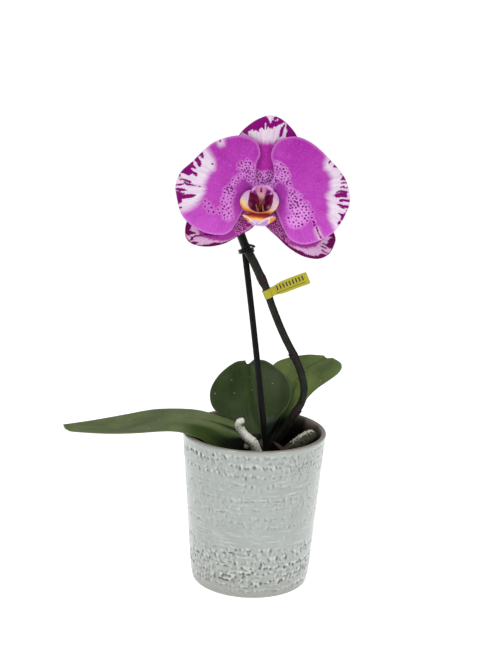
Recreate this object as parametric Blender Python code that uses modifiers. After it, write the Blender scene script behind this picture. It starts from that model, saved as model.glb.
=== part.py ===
"""Potted orchid: a moth orchid with one large bloom, in a glazed cover pot.

Metres, +Z up. The pot stands on Z = 0 with its axis on X = Y = 0, and the bloom faces -Y.
Outlines and routes are in millimetres and pass through mm() once.
"""

import math
import random

import bmesh
import bpy
from mathutils import Matrix, Vector

MM = 0.001
GAP = 0.0003
WELD = 0.00001
UPRIGHT = Vector((0.0, 0.0, 1.0))

# Cover pot: rim outer diameter 131, height 142.5, straight sides
POT_HEIGHT = 0.1425
POT_RIM_RADIUS = 0.0654
POT_BASE_RADIUS = 0.0541
POT_WALL = 0.0046
POT_FLOOR = 0.0070
POT_FOOT_ROUND = 0.0030
POT_SIDES = 48

# Growing pot that stands inside the cover pot
GROW_HEIGHT = 0.1205
GROW_RIM_RADIUS = 0.0545
GROW_BASE_RADIUS = 0.0420
GROW_WALL = 0.0010
GROW_FLANGE = 0.0018
GROW_HOLES = 6
GROW_HOLE_RADIUS = 0.0040
GROW_HOLE_RING = 0.0290
GROW_SIDES = 36

# Bark that fills the growing pot
BARK_TOP = 0.1135
BARK_ROUND = 0.0035
BARK_SIDES = GROW_SIDES
CHIP_COUNT = 38
CHIP_LENGTH = (0.011, 0.021)
CHIP_WIDTH = (0.007, 0.011)
CHIP_HEIGHT = (0.005, 0.008)
CHIP_CLEAR_OF_CROWN = 0.019
CHIP_RING = 0.0385

# Short trunk that carries the leaves, the roots and the flower stem
CROWN_PLACE = Vector((8.0, 2.0, 0.0)) * MM
CROWN_BOTTOM = 0.1015
CROWN_TOP = 0.1325
CROWN_SHOULDER = 0.1180
CROWN_RADIUS = 0.0080
CROWN_NECK_RADIUS = 0.0062
CROWN_SIDES = 20

# Leaves: rails of the far or left edge, the midrib, and the near or right edge
LEAF_THICKNESS = 0.0018
LEAF_CELLS = (18, 8)
LEAF_LEFT = (
    ((2.0, 6.3, 127), (-7, 10, 136.5), (-24, 14, 145), (-54, 28, 149.5), (-88, 34, 147.5),
     (-121, 29, 142.5), (-153, 18, 138.5), (-174.5, 7.5, 137.5)),
    ((0.8, 2.0, 126), (-6, 0.5, 135.5), (-20, -2, 143.5), (-51, -4, 151), (-82, -2, 148.5),
     (-117, -1, 139.5), (-148, -1, 136.5), (-171.5, 0, 137.3)),
    ((1.8, -2.3, 126), (-7, -9.5, 131), (-22.5, -25, 131.5), (-50, -34, 145.5), (-83, -34, 146.5),
     (-114, -29.5, 143), (-146, -18, 140), (-171, -5, 137)),
)
LEAF_CENTRE = (
    ((4, 9.0, 128.5), (-6, 14.5, 135), (-20.5, 19.5, 142.5), (-38, 25, 152.5), (-42, 33, 166.5),
     (-36.5, 40, 178), (-26, 46, 187), (-14, 50, 193)),
    ((8, 9.2, 128.5), (6, 13, 136), (1.7, 19, 146), (-1.5, 28, 157), (-3.5, 36, 167),
     (-5.5, 43, 176.5), (-7, 49, 183.5), (-8.3, 53, 189)),
    ((12, 9.0, 129), (16.5, 11.5, 138.5), (22.5, 15, 150.5), (30.5, 23, 159.5), (32.5, 31, 171.5),
     (27, 39, 182), (15, 45, 189.5), (1, 50, 193)),
)
LEAF_RIGHT = (
    ((12.4, 7.4, 125), (14.5, 16, 134.5), (14.5, 30, 154.5), (13, 50, 174), (16, 62, 186),
     (27.5, 70, 190), (48, 73, 193.5), (71, 66, 194.5)),
    ((13.8, 5.8, 124.7), (19.5, 13, 135), (26, 24, 146.5), (32, 36, 161.5), (38, 45, 173.5),
     (45.5, 51, 180.5), (57, 58, 187.5), (76.5, 61.5, 193)),
    ((14.4, 4.2, 124.5), (23.5, 9, 134.5), (33, 20, 145.5), (40, 27, 157), (48, 32, 166.5),
     (57, 37, 174), (72, 44.5, 181.5), (80.5, 56, 191.5)),
)

# Flower stem, from the trunk to its hidden tip, and the thin stalk that turns forward to the bloom
STEM_RADIUS = 0.0032
STEM_ROUTE = (
    (17.2, -1.8, 121), (20, -2.5, 132.5), (25, -4, 139.5), (30.5, -5, 150), (36.5, -6, 161.5),
    (41.5, -6, 171), (44, -6, 181), (42.8, -5, 191), (38, -4, 202.5), (33.3, -3, 212.5),
    (23, -2, 231.5), (15.8, -1, 247), (10.5, -1, 260), (6.5, -1, 271.5), (2, -1, 280.5),
    (-5.5, -1, 295.5), (-12.7, 0, 308), (-17, 1, 317.5), (-20.5, 2, 327.5), (-23.5, 4, 337.5),
)
STEM_POINTS = 40
STEM_NODES = ((36.5, -6, 161.5), (33.3, -3, 212.5), (2, -1, 280.5))
STEM_NODE_RADIUS = 0.0038
BRACT_SIZE = (2.6, 1.5, 5.2)
STALK_RADIUS = 0.0019
STALK_ROUTE = ((-19, 1.5, 323.5), (-19.5, -1, 336.5), (-15.5, -7, 349.5), (-8.5, -15, 359.5), (-1.5, -25, 364.3))
RECEPTACLE_RADIUS = 0.0030
RECEPTACLE_FROM = -0.0080
RECEPTACLE_TO = 0.0026

# Support stake, clip and label
STAKE_RADIUS = 0.0027
STAKE_TOP = (-13.8, 6.5, 309.5)
STAKE_BOTTOM = (20.5, -23.8, 31.5)
TIE_HEIGHT = 306.5
TIE_WIRE = 0.0008
TIE_TURNS = 2
TIE_PITCH = 0.0019
LABEL_PLACE = (7.5, -1, 268.5)
LABEL_WIDTH = 0.0078
LABEL_THICKNESS = 0.0007
LABEL_TAB = 0.0385
LABEL_SLOPE = math.radians(24.0)

# Air roots
PALE_ROUTE = ((3.2, -7, 116.5), (2.8, -12, 119), (3.2, -16, 124), (0, -20, 134.5), (-6, -21, 140.5),
              (-11.4, -20, 146.5), (-14, -20, 152), (-12.4, -20, 156.5), (-8.3, -21, 157))
PALE_RADII = (3.2, 3.3, 3.6, 3.7, 3.5, 3.3, 3.3, 3.4, 3.0)
PALE_STUB = ((1, -18.5, 132), (-3, -19, 130.5), (-6.5, -19.5, 129))
PALE_STUB_RADIUS = 0.0024
MOSSY_ROUTE = ((15.2, -4.4, 111.5), (21, -8.5, 114), (28, -8.5, 121.5), (34, -8, 129),
               (40.5, -6, 133.5), (47.5, -2, 136.5), (53, 2.5, 138))
MOSSY_RADII = (3.3, 3.8, 4.3, 4.8, 5.2, 5.2, 4.3)
INNER_A_ROUTE = ((8, 11.0, 112.5), (6, 19, 114.5), (0, 27, 111.5), (-4, 33, 104.5))
INNER_B_ROUTE = ((-1.2, 1.2, 112.5), (-11, 2, 115.5), (-21, 4, 112.5), (-28, 6, 104.5))
INNER_RADIUS = 0.0026
ROOT_POINTS = 18
INNER_POINTS = 9

# Dry leaf sheath: a V of two narrow strips on a thin foot
SHEATH_ROUTE = ((16.5, -18, 137.3), (20.5, -18, 134), (26, -17.5, 129.5), (30, -17.5, 133), (34.5, -17.5, 138))
SHEATH_DEPTH = 0.0022
SHEATH_THICKNESS = 0.0009
SHEATH_FOOT = ((26, -17.3, 130), (26.5, -16, 119.5), (27, -15, 109.5))
SHEATH_FOOT_RADIUS = 0.0012

# Bloom: a to the right, b up, c towards the viewer, leaned over in its own plane
BLOOM_PLACE = Vector((-1.0, -35.0, 364.4)) * MM
BLOOM_LEAN = math.radians(4.2)
TEPAL_THICKNESS = 0.0010
PETAL_CLAW_DEPTH = 2.0
PETAL_BULGE = 6.0
PETAL_MARGIN_DROP = 3.0
PETAL_WAVE = 1.1
SEPAL_FALL = 7.0
SEPAL_WAVE = 0.7
PETAL_LEFT = (
    (-6.5, 8), (-6.6, 17), (-5, 31), (-9.5, 40.5), (-22, 44), (-36, 40), (-55, 24.5), (-69, 7),
    (-72.4, -5), (-67.5, -22.5), (-56, -36), (-38.5, -41.4), (-25, -39), (-18.5, -28), (-11, -11),
)
PETAL_RIGHT = (
    (5.8, 8), (5.0, 18), (4.5, 31), (9, 43), (22, 48.2), (37, 44.5), (54, 32.5), (69, 17.5),
    (74.6, 0), (71.5, -16), (61, -32), (42, -41.5), (28, -38.5), (20, -27.5), (11, -11),
)
SEPAL_DORSAL = (
    (-13, 14), (-22, 26), (-26, 37), (-22.5, 46.5), (-14, 55.5), (0, 63), (12.5, 59.5),
    (24, 50), (28, 38), (23.5, 26), (13.5, 14),
)
SEPAL_LEFT = (
    (-0.8, -12), (-0.9, -24), (-5, -33.5), (-15, -41), (-27, -49.5), (-41, -54), (-54, -52.5),
    (-60.5, -45), (-58.5, -31), (-46, -17), (-26, -7), (-10, -3),
)
SEPAL_RIGHT = (
    (0.8, -12), (1.2, -24), (7.5, -31.5), (17, -38), (28, -46.5), (41, -52.8), (54, -54.5),
    (64.5, -46), (65, -31), (50, -16), (27, -7), (10, -3),
)
TEPAL_CELLS = (21, 7)

# Lip: a cup that closes in towards its mouth, the callus in its floor and the arrow-shaped middle lobe
LIP_THICKNESS = 0.0009
LIP_FOOT_DEPTH = 3.4
LIP_DEPTH = 12.0
LIP_FOOT = (0.0, -6.0)
LIP_MOUTH = (0.3, -12.0)
LIP_TURN = (0.05, 0.78)
LIP_CUP = (
    (-9.4, 1.4), (-14.5, -2), (-17.2, -9.5), (-13, -16), (-6, -18.7), (0.8, -19), (7, -17.3),
    (12.8, -13.5), (15.5, -6.2), (13, -0.3), (8.9, 2.6),
)
LIP_LOBE = (
    ((-3, -16.6), (-8, -18.2), (-14, -20), (-10, -24), (-4.4, -28)),
    ((3, -16.6), (8.5, -17.8), (13.8, -19.6), (10, -23.5), (5.6, -27.6)),
)
LIP_LOBE_DEPTH = (12.8, 15.6, 14.0)
LIP_LOBE_KEEL = 1.8
CALLUS_PLACE = (0.3, -15.4, 11.4)
CALLUS_SIZE = (2.2, 3.4, 3.2)
COLUMN_ROUTE = ((0, 0, 2.9), (0, 0, 4.2), (0, -0.8, 6.6), (0.1, -2.4, 9.6), (0.3, -4.6, 12.6), (0.35, -5.3, 13.5),
                (0.4, -5.6, 13.9))
COLUMN_RADII = (3.1, 3.2, 3.5, 3.8, 3.4, 2.4, 1.2)

parts = None
cutters = None


def mm(point):
    """A point in metres from one in millimetres."""
    return Vector(point) * MM


def spline(points, share):
    """The point at a share of the way along a smooth curve through evenly numbered points."""
    spans = len(points) - 1
    place = min(max(share, 0.0), 1.0) * spans
    first = min(int(place), spans - 1)
    part = place - first
    middle = [Vector(points[first]), Vector(points[first + 1])]
    before = Vector(points[first - 1]) if first > 0 else 2 * middle[0] - middle[1]
    after = Vector(points[first + 2]) if first + 2 <= spans else 2 * middle[1] - middle[0]
    slope_in = (middle[1] - before) / 2
    slope_out = (after - middle[0]) / 2
    square = part * part
    cube = square * part
    return (
        middle[0] * (2 * cube - 3 * square + 1)
        + slope_in * (cube - 2 * square + part)
        + middle[1] * (3 * square - 2 * cube)
        + slope_out * (cube - square)
    )


def evenly(points, count, fineness=16):
    """Points at equal steps along the smooth curve through the given points."""
    steps = (len(points) - 1) * fineness
    dense = [spline(points, step / steps) for step in range(steps + 1)]
    reach = [0.0]
    for start, end in zip(dense, dense[1:]):
        reach.append(reach[-1] + (end - start).length)
    found = []
    index = 0
    for step in range(count):
        target = reach[-1] * step / (count - 1)
        while index < len(reach) - 2 and reach[index + 1] < target:
            index += 1
        span = reach[index + 1] - reach[index]
        found.append(dense[index].lerp(dense[index + 1], (target - reach[index]) / span))
    return found


def bloom_point(a, b, c):
    """A place of the bloom, in millimetres across, up and forward, as a point in metres."""
    across = a * math.cos(BLOOM_LEAN) + b * math.sin(BLOOM_LEAN)
    up = b * math.cos(BLOOM_LEAN) - a * math.sin(BLOOM_LEAN)
    return BLOOM_PLACE + mm((across, -c, up))


def finish(name, colour, roughness):
    """A plain material with the piece's own colour and roughness."""
    made = bpy.data.materials.new(name)
    made.use_nodes = True
    shader = made.node_tree.nodes["Principled BSDF"]
    shader.inputs["Base Color"].default_value = (*colour, 1.0)
    shader.inputs["Roughness"].default_value = roughness
    shader.inputs["Metallic"].default_value = 0.0
    return made


def place(name, data, material, group=None):
    """An object of the given data, in the parts' collection unless another is named."""
    made = bpy.data.objects.new(name, data)
    if material:
        data.materials.append(material)
    (group or parts).objects.link(made)
    return made


def hide_cutter(made):
    """Marks an object as a cutter, which the model itself doesn't show."""
    made.hide_render = True
    made.display_type = "WIRE"
    return made


def smooth(mesh, angle=math.radians(40)):
    """Shades a mesh smooth, with sharp edges only where it turns by more than the angle."""
    mesh.shade_smooth()
    mesh.set_sharp_from_angle(angle=angle)


def as_mesh(made, name, material=None, group=None):
    """The evaluated shape of an object as a mesh object with its caps welded; the first is removed."""
    bpy.context.view_layer.update()
    seen = made.evaluated_get(bpy.context.evaluated_depsgraph_get())
    mesh = bpy.data.meshes.new_from_object(seen)
    work = bmesh.new()
    work.from_mesh(mesh)
    bmesh.ops.remove_doubles(work, verts=work.verts, dist=WELD)
    work.to_mesh(mesh)
    work.free()
    mesh.materials.clear()
    stand = made.matrix_world.copy()
    bpy.data.objects.remove(made)
    fresh = place(name, mesh, material, group)
    fresh.matrix_world = stand
    return fresh


def fused(name, pieces, material):
    """One object that is the union of several mesh objects, which are then removed."""
    trunk, *others = pieces
    helpers = bpy.data.collections.new(name + "_pieces")
    bpy.context.scene.collection.children.link(helpers)
    for piece in others:
        for group in list(piece.users_collection):
            group.objects.unlink(piece)
        helpers.objects.link(piece)
    union = trunk.modifiers.new("union", "BOOLEAN")
    union.operation = "UNION"
    union.operand_type = "COLLECTION"
    union.collection = helpers
    union.solver = "EXACT"
    joined = as_mesh(trunk, name, material)
    for piece in others:
        bpy.data.objects.remove(piece)
    bpy.data.collections.remove(helpers)
    smooth(joined.data)
    return joined


def cut(made, cutter):
    """Cuts a hole in an object with a closed cutter."""
    hole = made.modifiers.new("hole", "BOOLEAN")
    hole.operation = "DIFFERENCE"
    hole.object = cutter
    hole.solver = "EXACT"


def largest_surface(made):
    """Keeps a mesh's largest closed surface, which fills sealed hollows and drops loose scraps."""
    work = bmesh.new()
    work.from_mesh(made.data)
    left = set(work.verts)
    islands = []
    while left:
        island = {left.pop()}
        edge = set(island)
        while edge:
            edge = {side.other_vert(vertex) for vertex in edge for side in vertex.link_edges} & left
            left -= edge
            island |= edge
        islands.append(island)
    keep = max(islands, key=len)
    bmesh.ops.delete(work, geom=[vertex for vertex in work.verts if vertex not in keep], context="VERTS")
    work.to_mesh(made.data)
    work.free()


def turned(name, profile, sides, material, middle=Vector((0, 0, 0))):
    """A turned shape: a profile of radii and heights, down its outer side, swept round +Z."""
    mesh = bpy.data.meshes.new(name)
    work = bmesh.new()
    line = [work.verts.new((radius, 0.0, height)) for radius, height in profile]
    for start, end in zip(line, line[1:]):
        work.edges.new((start, end))
    work.to_mesh(mesh)
    work.free()
    made = place(name, mesh, material)
    made.location = middle
    sweep = made.modifiers.new("turn", "SCREW")
    sweep.steps = sides
    sweep.render_steps = sides
    sweep.use_merge_vertices = True
    sweep.merge_threshold = WELD
    sweep.use_smooth_shade = True
    return made


def tube(name, points, radii, material, detail=2, group=None):
    """A round tube along points in metres, with a radius in metres at each."""
    curve = bpy.data.curves.new(name, "CURVE")
    curve.dimensions = "3D"
    curve.bevel_depth = 1.0
    curve.bevel_resolution = detail
    curve.use_fill_caps = True
    line = curve.splines.new("POLY")
    line.points.add(len(points) - 1)
    for held, point, radius in zip(line.points, points, radii):
        held.co = (*point, 1.0)
        held.radius = radius
    return place(name, curve, material, group)


def along(values, share):
    """The value at a share of the way through a list, in straight steps."""
    position = share * (len(values) - 1)
    first = min(int(position), len(values) - 2)
    return values[first] + (values[first + 1] - values[first]) * (position - first)


def root_tube(name, route, radii, material, points=ROOT_POINTS, detail=3, extra=0.0, group=None):
    """A root along its route, rounded off at its tip; extra widens and lengthens it for a cutter."""
    line = [point * MM for point in evenly(route, points)]
    wide = [along(radii, step / (points - 1)) * MM + extra for step in range(points)]
    heading = (line[-1] - line[-2]).normalized()
    tip = wide[-1]
    for share in (0.45, 0.8, 1.0):
        line.append(line[points - 1] + heading * tip * share)
        wide.append(tip * math.sqrt(max(1.0 - share * share, 0.03)))
    if extra:
        line.insert(0, line[0] + (line[0] - line[1]).normalized() * extra)
        wide.insert(0, wide[0])
    return tube(name, line, wide, material, detail, group)


def blade(name, surface, cells, thickness, material):
    """A thin closed blade round a surface given by shares along and across, from 0 to 1."""
    mesh = bpy.data.meshes.new(name)
    work = bmesh.new()
    bmesh.ops.create_grid(work, x_segments=cells[0], y_segments=cells[1], size=1.0)
    for vertex in work.verts:
        vertex.co = surface((vertex.co.x + 1) / 2, (vertex.co.y + 1) / 2)
    bmesh.ops.triangulate(work, faces=work.faces)
    work.to_mesh(mesh)
    work.free()
    smooth(mesh)
    made = place(name, mesh, material)
    shell = made.modifiers.new("thickness", "SOLIDIFY")
    shell.thickness = thickness
    shell.offset = 0.0
    return made


def leaf(name, rails, material):
    """A leaf lofted over its three rails, grooved where the midrib lies lower than both edges."""
    def surface(share, across):
        side = 2 * across - 1
        far, rib, near = (spline(rail, share) for rail in rails)
        return (rib + (near - far) * (side / 2) + ((far + near) / 2 - rib) * (side * side)) * MM

    return blade(name, surface, LEAF_CELLS, LEAF_THICKNESS, material)


def tepal(name, outline, claw, depth, material):
    """A petal or sepal that fans out from its claw to its outline, with the depth given by a rule."""
    rim = evenly((claw[0], *outline, claw[1]), TEPAL_CELLS[0] + 1)

    def surface(round_share, outward):
        edge = spline(rim, round_share)
        foot = Vector(claw[0]).lerp(Vector(claw[1]), round_share)
        spot = foot.lerp(edge, outward)
        return bloom_point(spot.x, spot.y, depth(outward, round_share))

    return blade(name, surface, TEPAL_CELLS, TEPAL_THICKNESS, material)


def petal_depth(phase):
    """The rule for a petal's depth: a low dome with a dropped, slightly waved margin."""
    def depth(outward, round_share):
        dome = PETAL_BULGE * math.sin(0.85 * math.pi * outward)
        margin = PETAL_MARGIN_DROP * outward**3
        wave = PETAL_WAVE * outward**3 * math.sin(6 * math.pi * round_share + phase)
        return PETAL_CLAW_DEPTH + (dome - margin + wave) * math.sqrt(max(math.sin(math.pi * round_share), 0.0))

    return depth


def sepal_depth(phase):
    """The rule for a sepal's depth: it falls back towards its tip."""
    def depth(outward, round_share):
        fall = SEPAL_FALL * outward**2 * math.sin(math.pi * round_share)
        wave = SEPAL_WAVE * outward**3 * math.sin(5 * math.pi * round_share + phase)
        return wave - fall

    return depth


def make_cover_pot():
    """The glazed cover pot: a turned shell with a round rim and a softened foot."""
    def outer(height):
        return POT_BASE_RADIUS + (POT_RIM_RADIUS - POT_BASE_RADIUS) * height / POT_HEIGHT

    half = POT_WALL / 2
    rim_middle = POT_HEIGHT - half
    mid_radius = outer(rim_middle) - half
    rim = [
        (mid_radius - half * math.cos(turn), rim_middle + half * math.sin(turn))
        for turn in (0.0, math.pi / 5, 2 * math.pi / 5, 3 * math.pi / 5, 4 * math.pi / 5, math.pi)
    ]
    profile = [(0.0, POT_FLOOR), (outer(POT_FLOOR) - POT_WALL - POT_FOOT_ROUND, POT_FLOOR)]
    profile += [(outer(POT_FLOOR) - POT_WALL, POT_FLOOR + POT_FOOT_ROUND)]
    profile += [(outer(share * POT_HEIGHT) - POT_WALL, share * POT_HEIGHT) for share in (0.4, 0.7)]
    profile += rim
    profile += [(outer(share * POT_HEIGHT), share * POT_HEIGHT) for share in (0.7, 0.4)]
    profile += [(outer(POT_FOOT_ROUND), POT_FOOT_ROUND)]
    profile += [(POT_BASE_RADIUS - 0.3 * POT_FOOT_ROUND, 0.3 * POT_FOOT_ROUND)]
    profile += [(POT_BASE_RADIUS - POT_FOOT_ROUND, 0.0), (0.0, 0.0)]
    return turned("cover_pot", profile, POT_SIDES, finish("glazed stoneware", (0.55, 0.60, 0.56), 0.25))


def grow_radius(height):
    """The growing pot's outer radius at a height."""
    rise = (height - POT_FLOOR - GAP) / GROW_HEIGHT
    return GROW_BASE_RADIUS + (GROW_RIM_RADIUS - GROW_BASE_RADIUS) * rise


def make_grow_pot():
    """The growing pot: a thin turned shell with a flange, and a ring of drain holes in its floor."""
    base = POT_FLOOR + GAP
    top = base + GROW_HEIGHT
    profile = [
        (0.0, base + GROW_WALL),
        (GROW_BASE_RADIUS - GROW_WALL, base + GROW_WALL),
        (GROW_RIM_RADIUS - GROW_WALL, top),
        (GROW_RIM_RADIUS + GROW_FLANGE, top),
        (GROW_RIM_RADIUS + GROW_FLANGE, top - 2 * GROW_WALL),
        (grow_radius(top - 2 * GROW_WALL), top - 2 * GROW_WALL),
        (GROW_BASE_RADIUS, base),
        (0.0, base),
    ]
    pot = turned("grow_pot", profile, GROW_SIDES, finish("smoky plastic", (0.05, 0.05, 0.045), 0.35))
    for index in range(GROW_HOLES):
        turn = 2 * math.pi * index / GROW_HOLES
        middle = (GROW_HOLE_RING * math.cos(turn), GROW_HOLE_RING * math.sin(turn), base)
        mesh = bpy.data.meshes.new("drain_cutter")
        work = bmesh.new()
        bmesh.ops.create_cone(
            work, cap_ends=True, segments=10, radius1=GROW_HOLE_RADIUS, radius2=GROW_HOLE_RADIUS,
            depth=8 * GROW_WALL, matrix=Matrix.Translation(middle),
        )
        work.to_mesh(mesh)
        work.free()
        cut(pot, hide_cutter(place(f"drain_cutter_{index}", mesh, None, cutters)))
    return pot


def chip(name, draw):
    """One bark chip: a box with uneven corners, nearly flat on the surface of the bark."""
    mesh = bpy.data.meshes.new(name)
    work = bmesh.new()
    bmesh.ops.create_cube(work, size=1.0)
    size = [draw.uniform(*span) for span in (CHIP_LENGTH, CHIP_WIDTH, CHIP_HEIGHT)]
    for vertex in work.verts:
        vertex.co = Vector([part * long * draw.uniform(0.75, 1.0) for part, long in zip(vertex.co, size)])
    bmesh.ops.triangulate(work, faces=work.faces)
    work.to_mesh(mesh)
    work.free()
    made = place(name, mesh, None)
    while True:
        turn = draw.uniform(0, 2 * math.pi)
        reach = CHIP_RING * math.sqrt(draw.uniform(0.0, 1.0))
        spot = Vector((reach * math.cos(turn), reach * math.sin(turn), 0.0))
        if (spot - CROWN_PLACE).length > CHIP_CLEAR_OF_CROWN:
            break
    spot.z = BARK_TOP + draw.uniform(-0.001, 0.002)
    tilt = Matrix.Rotation(draw.uniform(-0.3, 0.3), 4, "X") @ Matrix.Rotation(draw.uniform(-0.25, 0.25), 4, "Y")
    made.matrix_world = Matrix.Translation(spot) @ Matrix.Rotation(draw.uniform(0, math.pi), 4, "Z") @ tilt
    return made


def make_bark_mix():
    """The bark: a plug that fills the growing pot, its top covered with chips, with holes for what it holds."""
    base = POT_FLOOR + 2 * GAP + GROW_WALL
    shoulder = BARK_TOP - BARK_ROUND
    clear = GROW_WALL + GAP
    profile = [
        (0.0, BARK_TOP),
        (grow_radius(shoulder) - clear - BARK_ROUND, BARK_TOP),
        (grow_radius(shoulder) - clear, shoulder),
        (grow_radius(base) - clear, base),
        (0.0, base),
    ]
    core = as_mesh(turned("bark_core", profile, BARK_SIDES, None), "bark_core")
    draw = random.Random(7)
    bark = fused("bark_plug", [core] + [chip(f"chip_{index}", draw) for index in range(CHIP_COUNT)], None)

    well = [(0.0, CROWN_TOP), (CROWN_RADIUS + GAP, CROWN_TOP), (CROWN_RADIUS + GAP, CROWN_BOTTOM - GAP),
            (0.0, CROWN_BOTTOM - GAP)]
    hole = as_mesh(turned("crown_cutter", well, CROWN_SIDES, None, CROWN_PLACE), "crown_cutter", None, cutters)
    cut(bark, hide_cutter(hole))
    wells = (
        ("pale_cutter", PALE_ROUTE, PALE_RADII, ROOT_POINTS),
        ("mossy_cutter", MOSSY_ROUTE, MOSSY_RADII, ROOT_POINTS),
        ("inner_a_cutter", INNER_A_ROUTE, (INNER_RADIUS / MM,) * 2, INNER_POINTS),
        ("inner_b_cutter", INNER_B_ROUTE, (INNER_RADIUS / MM,) * 2, INNER_POINTS),
        ("sheath_cutter", SHEATH_FOOT, (SHEATH_FOOT_RADIUS / MM,) * 2, 4),
    )
    for name, route, radii, points in wells:
        drilled = root_tube(name, route, radii, None, points, 2, 3 * GAP, cutters)
        cut(bark, hide_cutter(as_mesh(drilled, name, None, cutters)))
    top, bottom = mm(STAKE_TOP), mm(STAKE_BOTTOM)
    reach = STAKE_RADIUS + GAP
    drilled = tube("stake_cutter", [top, bottom + (bottom - top).normalized() * GAP], [reach, reach], None, 2, cutters)
    cut(bark, hide_cutter(as_mesh(drilled, "stake_cutter", None, cutters)))
    bark = as_mesh(bark, "bark_mix", finish("pine bark", (0.045, 0.028, 0.018), 0.9))
    largest_surface(bark)
    return bark


def make_crown():
    """The trunk: a turned stub with a narrower neck and a domed top."""
    profile = [
        (0.0, CROWN_TOP),
        (0.55 * CROWN_NECK_RADIUS, CROWN_TOP - 0.0012),
        (0.9 * CROWN_NECK_RADIUS, CROWN_TOP - 0.0035),
        (CROWN_NECK_RADIUS, CROWN_TOP - 0.0065),
        (CROWN_NECK_RADIUS, CROWN_SHOULDER + 0.0020),
        (CROWN_RADIUS, CROWN_SHOULDER - 0.0010),
        (CROWN_RADIUS, CROWN_BOTTOM + 0.0030),
        (CROWN_RADIUS - 0.0020, CROWN_BOTTOM),
        (0.0, CROWN_BOTTOM),
    ]
    return turned("root_crown", profile, CROWN_SIDES, finish("orchid trunk", (0.05, 0.045, 0.02), 0.7), CROWN_PLACE)


def make_leaves():
    """The three leaves."""
    for name, rails, colour in (
        ("leaf_left", LEAF_LEFT, (0.10, 0.16, 0.06)),
        ("leaf_centre", LEAF_CENTRE, (0.045, 0.075, 0.035)),
        ("leaf_right", LEAF_RIGHT, (0.07, 0.12, 0.03)),
    ):
        leaf(name, rails, finish(name.replace("_", " "), colour, 0.4))


def bulge(name, middle, size, heading):
    """A small scale or swelling: an ellipsoid whose long axis follows the heading."""
    mesh = bpy.data.meshes.new(name)
    work = bmesh.new()
    bmesh.ops.create_uvsphere(work, u_segments=10, v_segments=6, radius=1.0)
    work.to_mesh(mesh)
    work.free()
    made = place(name, mesh, None)
    turn = heading.to_track_quat("Z", "Y").to_matrix().to_4x4()
    mesh.transform(Matrix.Translation(middle) @ turn @ Matrix.Diagonal((*(part * MM for part in size), 1.0)))
    return made


def make_flower_stem():
    """The stem with its nodes and bracts, and the thin stalk that ends in the receptacle."""
    route = [point * MM for point in evenly(STEM_ROUTE, STEM_POINTS)]
    radii = []
    for point in route:
        away = min((point - mm(node)).length for node in STEM_NODES)
        swell = (STEM_NODE_RADIUS - STEM_RADIUS) * math.exp(-((away / 0.004) ** 2))
        radii.append(STEM_RADIUS + swell)
    radii[-1] = 0.45 * STEM_RADIUS
    pieces = [as_mesh(tube("stem_tube", route, radii, None), "stem_tube")]

    for index, node in enumerate(STEM_NODES):
        near = min(range(1, len(route) - 1), key=lambda step: (route[step] - mm(node)).length)
        heading = (route[near + 1] - route[near - 1]).normalized()
        side = heading.cross(Vector((0, 1, 0))).normalized() * (1 if index % 2 else -1)
        pieces.append(bulge(f"bract_{index}", mm(node) + side * STEM_RADIUS * 0.7, BRACT_SIZE, heading))

    stalk = [point * MM for point in evenly(STALK_ROUTE, 10)]
    end = bloom_point(0, 0, RECEPTACLE_TO / MM)
    back = bloom_point(0, 0, RECEPTACLE_FROM / MM)
    stalk += [back.lerp(end, 0.35), end]
    wide = [STALK_RADIUS] * 9 + [STALK_RADIUS * 1.2, RECEPTACLE_RADIUS, RECEPTACLE_RADIUS]
    pieces.append(as_mesh(tube("stalk_tube", stalk, wide, None, 3), "stalk_tube"))
    return fused("flower_stem", pieces, finish("orchid stem", (0.035, 0.04, 0.022), 0.45))


def make_stake():
    """The support stake, a straight rod with a rounded top."""
    top, bottom = mm(STAKE_TOP), mm(STAKE_BOTTOM)
    heading = (top - bottom).normalized()
    points = [bottom, top - heading * 0.0012, top - heading * 0.0004, top]
    radii = [STAKE_RADIUS, STAKE_RADIUS, 0.8 * STAKE_RADIUS, 0.45 * STAKE_RADIUS]
    stake = tube("support_stake", points, radii, None, 3)
    return as_mesh(stake, "support_stake", finish("black stake plastic", (0.006, 0.007, 0.008), 0.4))


def make_tie():
    """The clip: a wire that winds round stem and stake, with one end standing off as a prong."""
    heights = [point for point in evenly(STEM_ROUTE, 200)]
    stem_spot = min(heights, key=lambda point: abs(point.z - TIE_HEIGHT)) * MM
    top, bottom = mm(STAKE_TOP), mm(STAKE_BOTTOM)
    stake_spot = bottom.lerp(top, (stem_spot.z - bottom.z) / (top.z - bottom.z))
    middle = (stem_spot + stake_spot) / 2
    long_way = (stake_spot - stem_spot)
    reach_long = long_way.length / 2 + STEM_RADIUS + 2 * GAP + TIE_WIRE
    reach_short = STEM_RADIUS * 1.22 + GAP + TIE_WIRE
    axis = Vector((-0.30, 0.10, 0.95)).normalized()
    across = (long_way - axis * long_way.dot(axis)).normalized()
    other = axis.cross(across)
    steps = 14
    points = []
    for step in range(TIE_TURNS * steps + 1):
        turn = 2 * math.pi * (step / steps) - 0.35
        lift = axis * TIE_PITCH * (step / steps - TIE_TURNS / 2)
        points.append(middle + across * reach_long * math.cos(turn) + other * reach_short * math.sin(turn) + lift)
    leave = points[-1]
    points += [leave + mm(step) for step in ((2.2, -1.6, 1.6), (4.6, -3.4, 3.0), (7.2, -4.4, 3.2))]
    wire = tube("stem_tie", points, [TIE_WIRE] * len(points), None, 2)
    return as_mesh(wire, "stem_tie", finish("black clip plastic", (0.006, 0.006, 0.007), 0.3))


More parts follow.
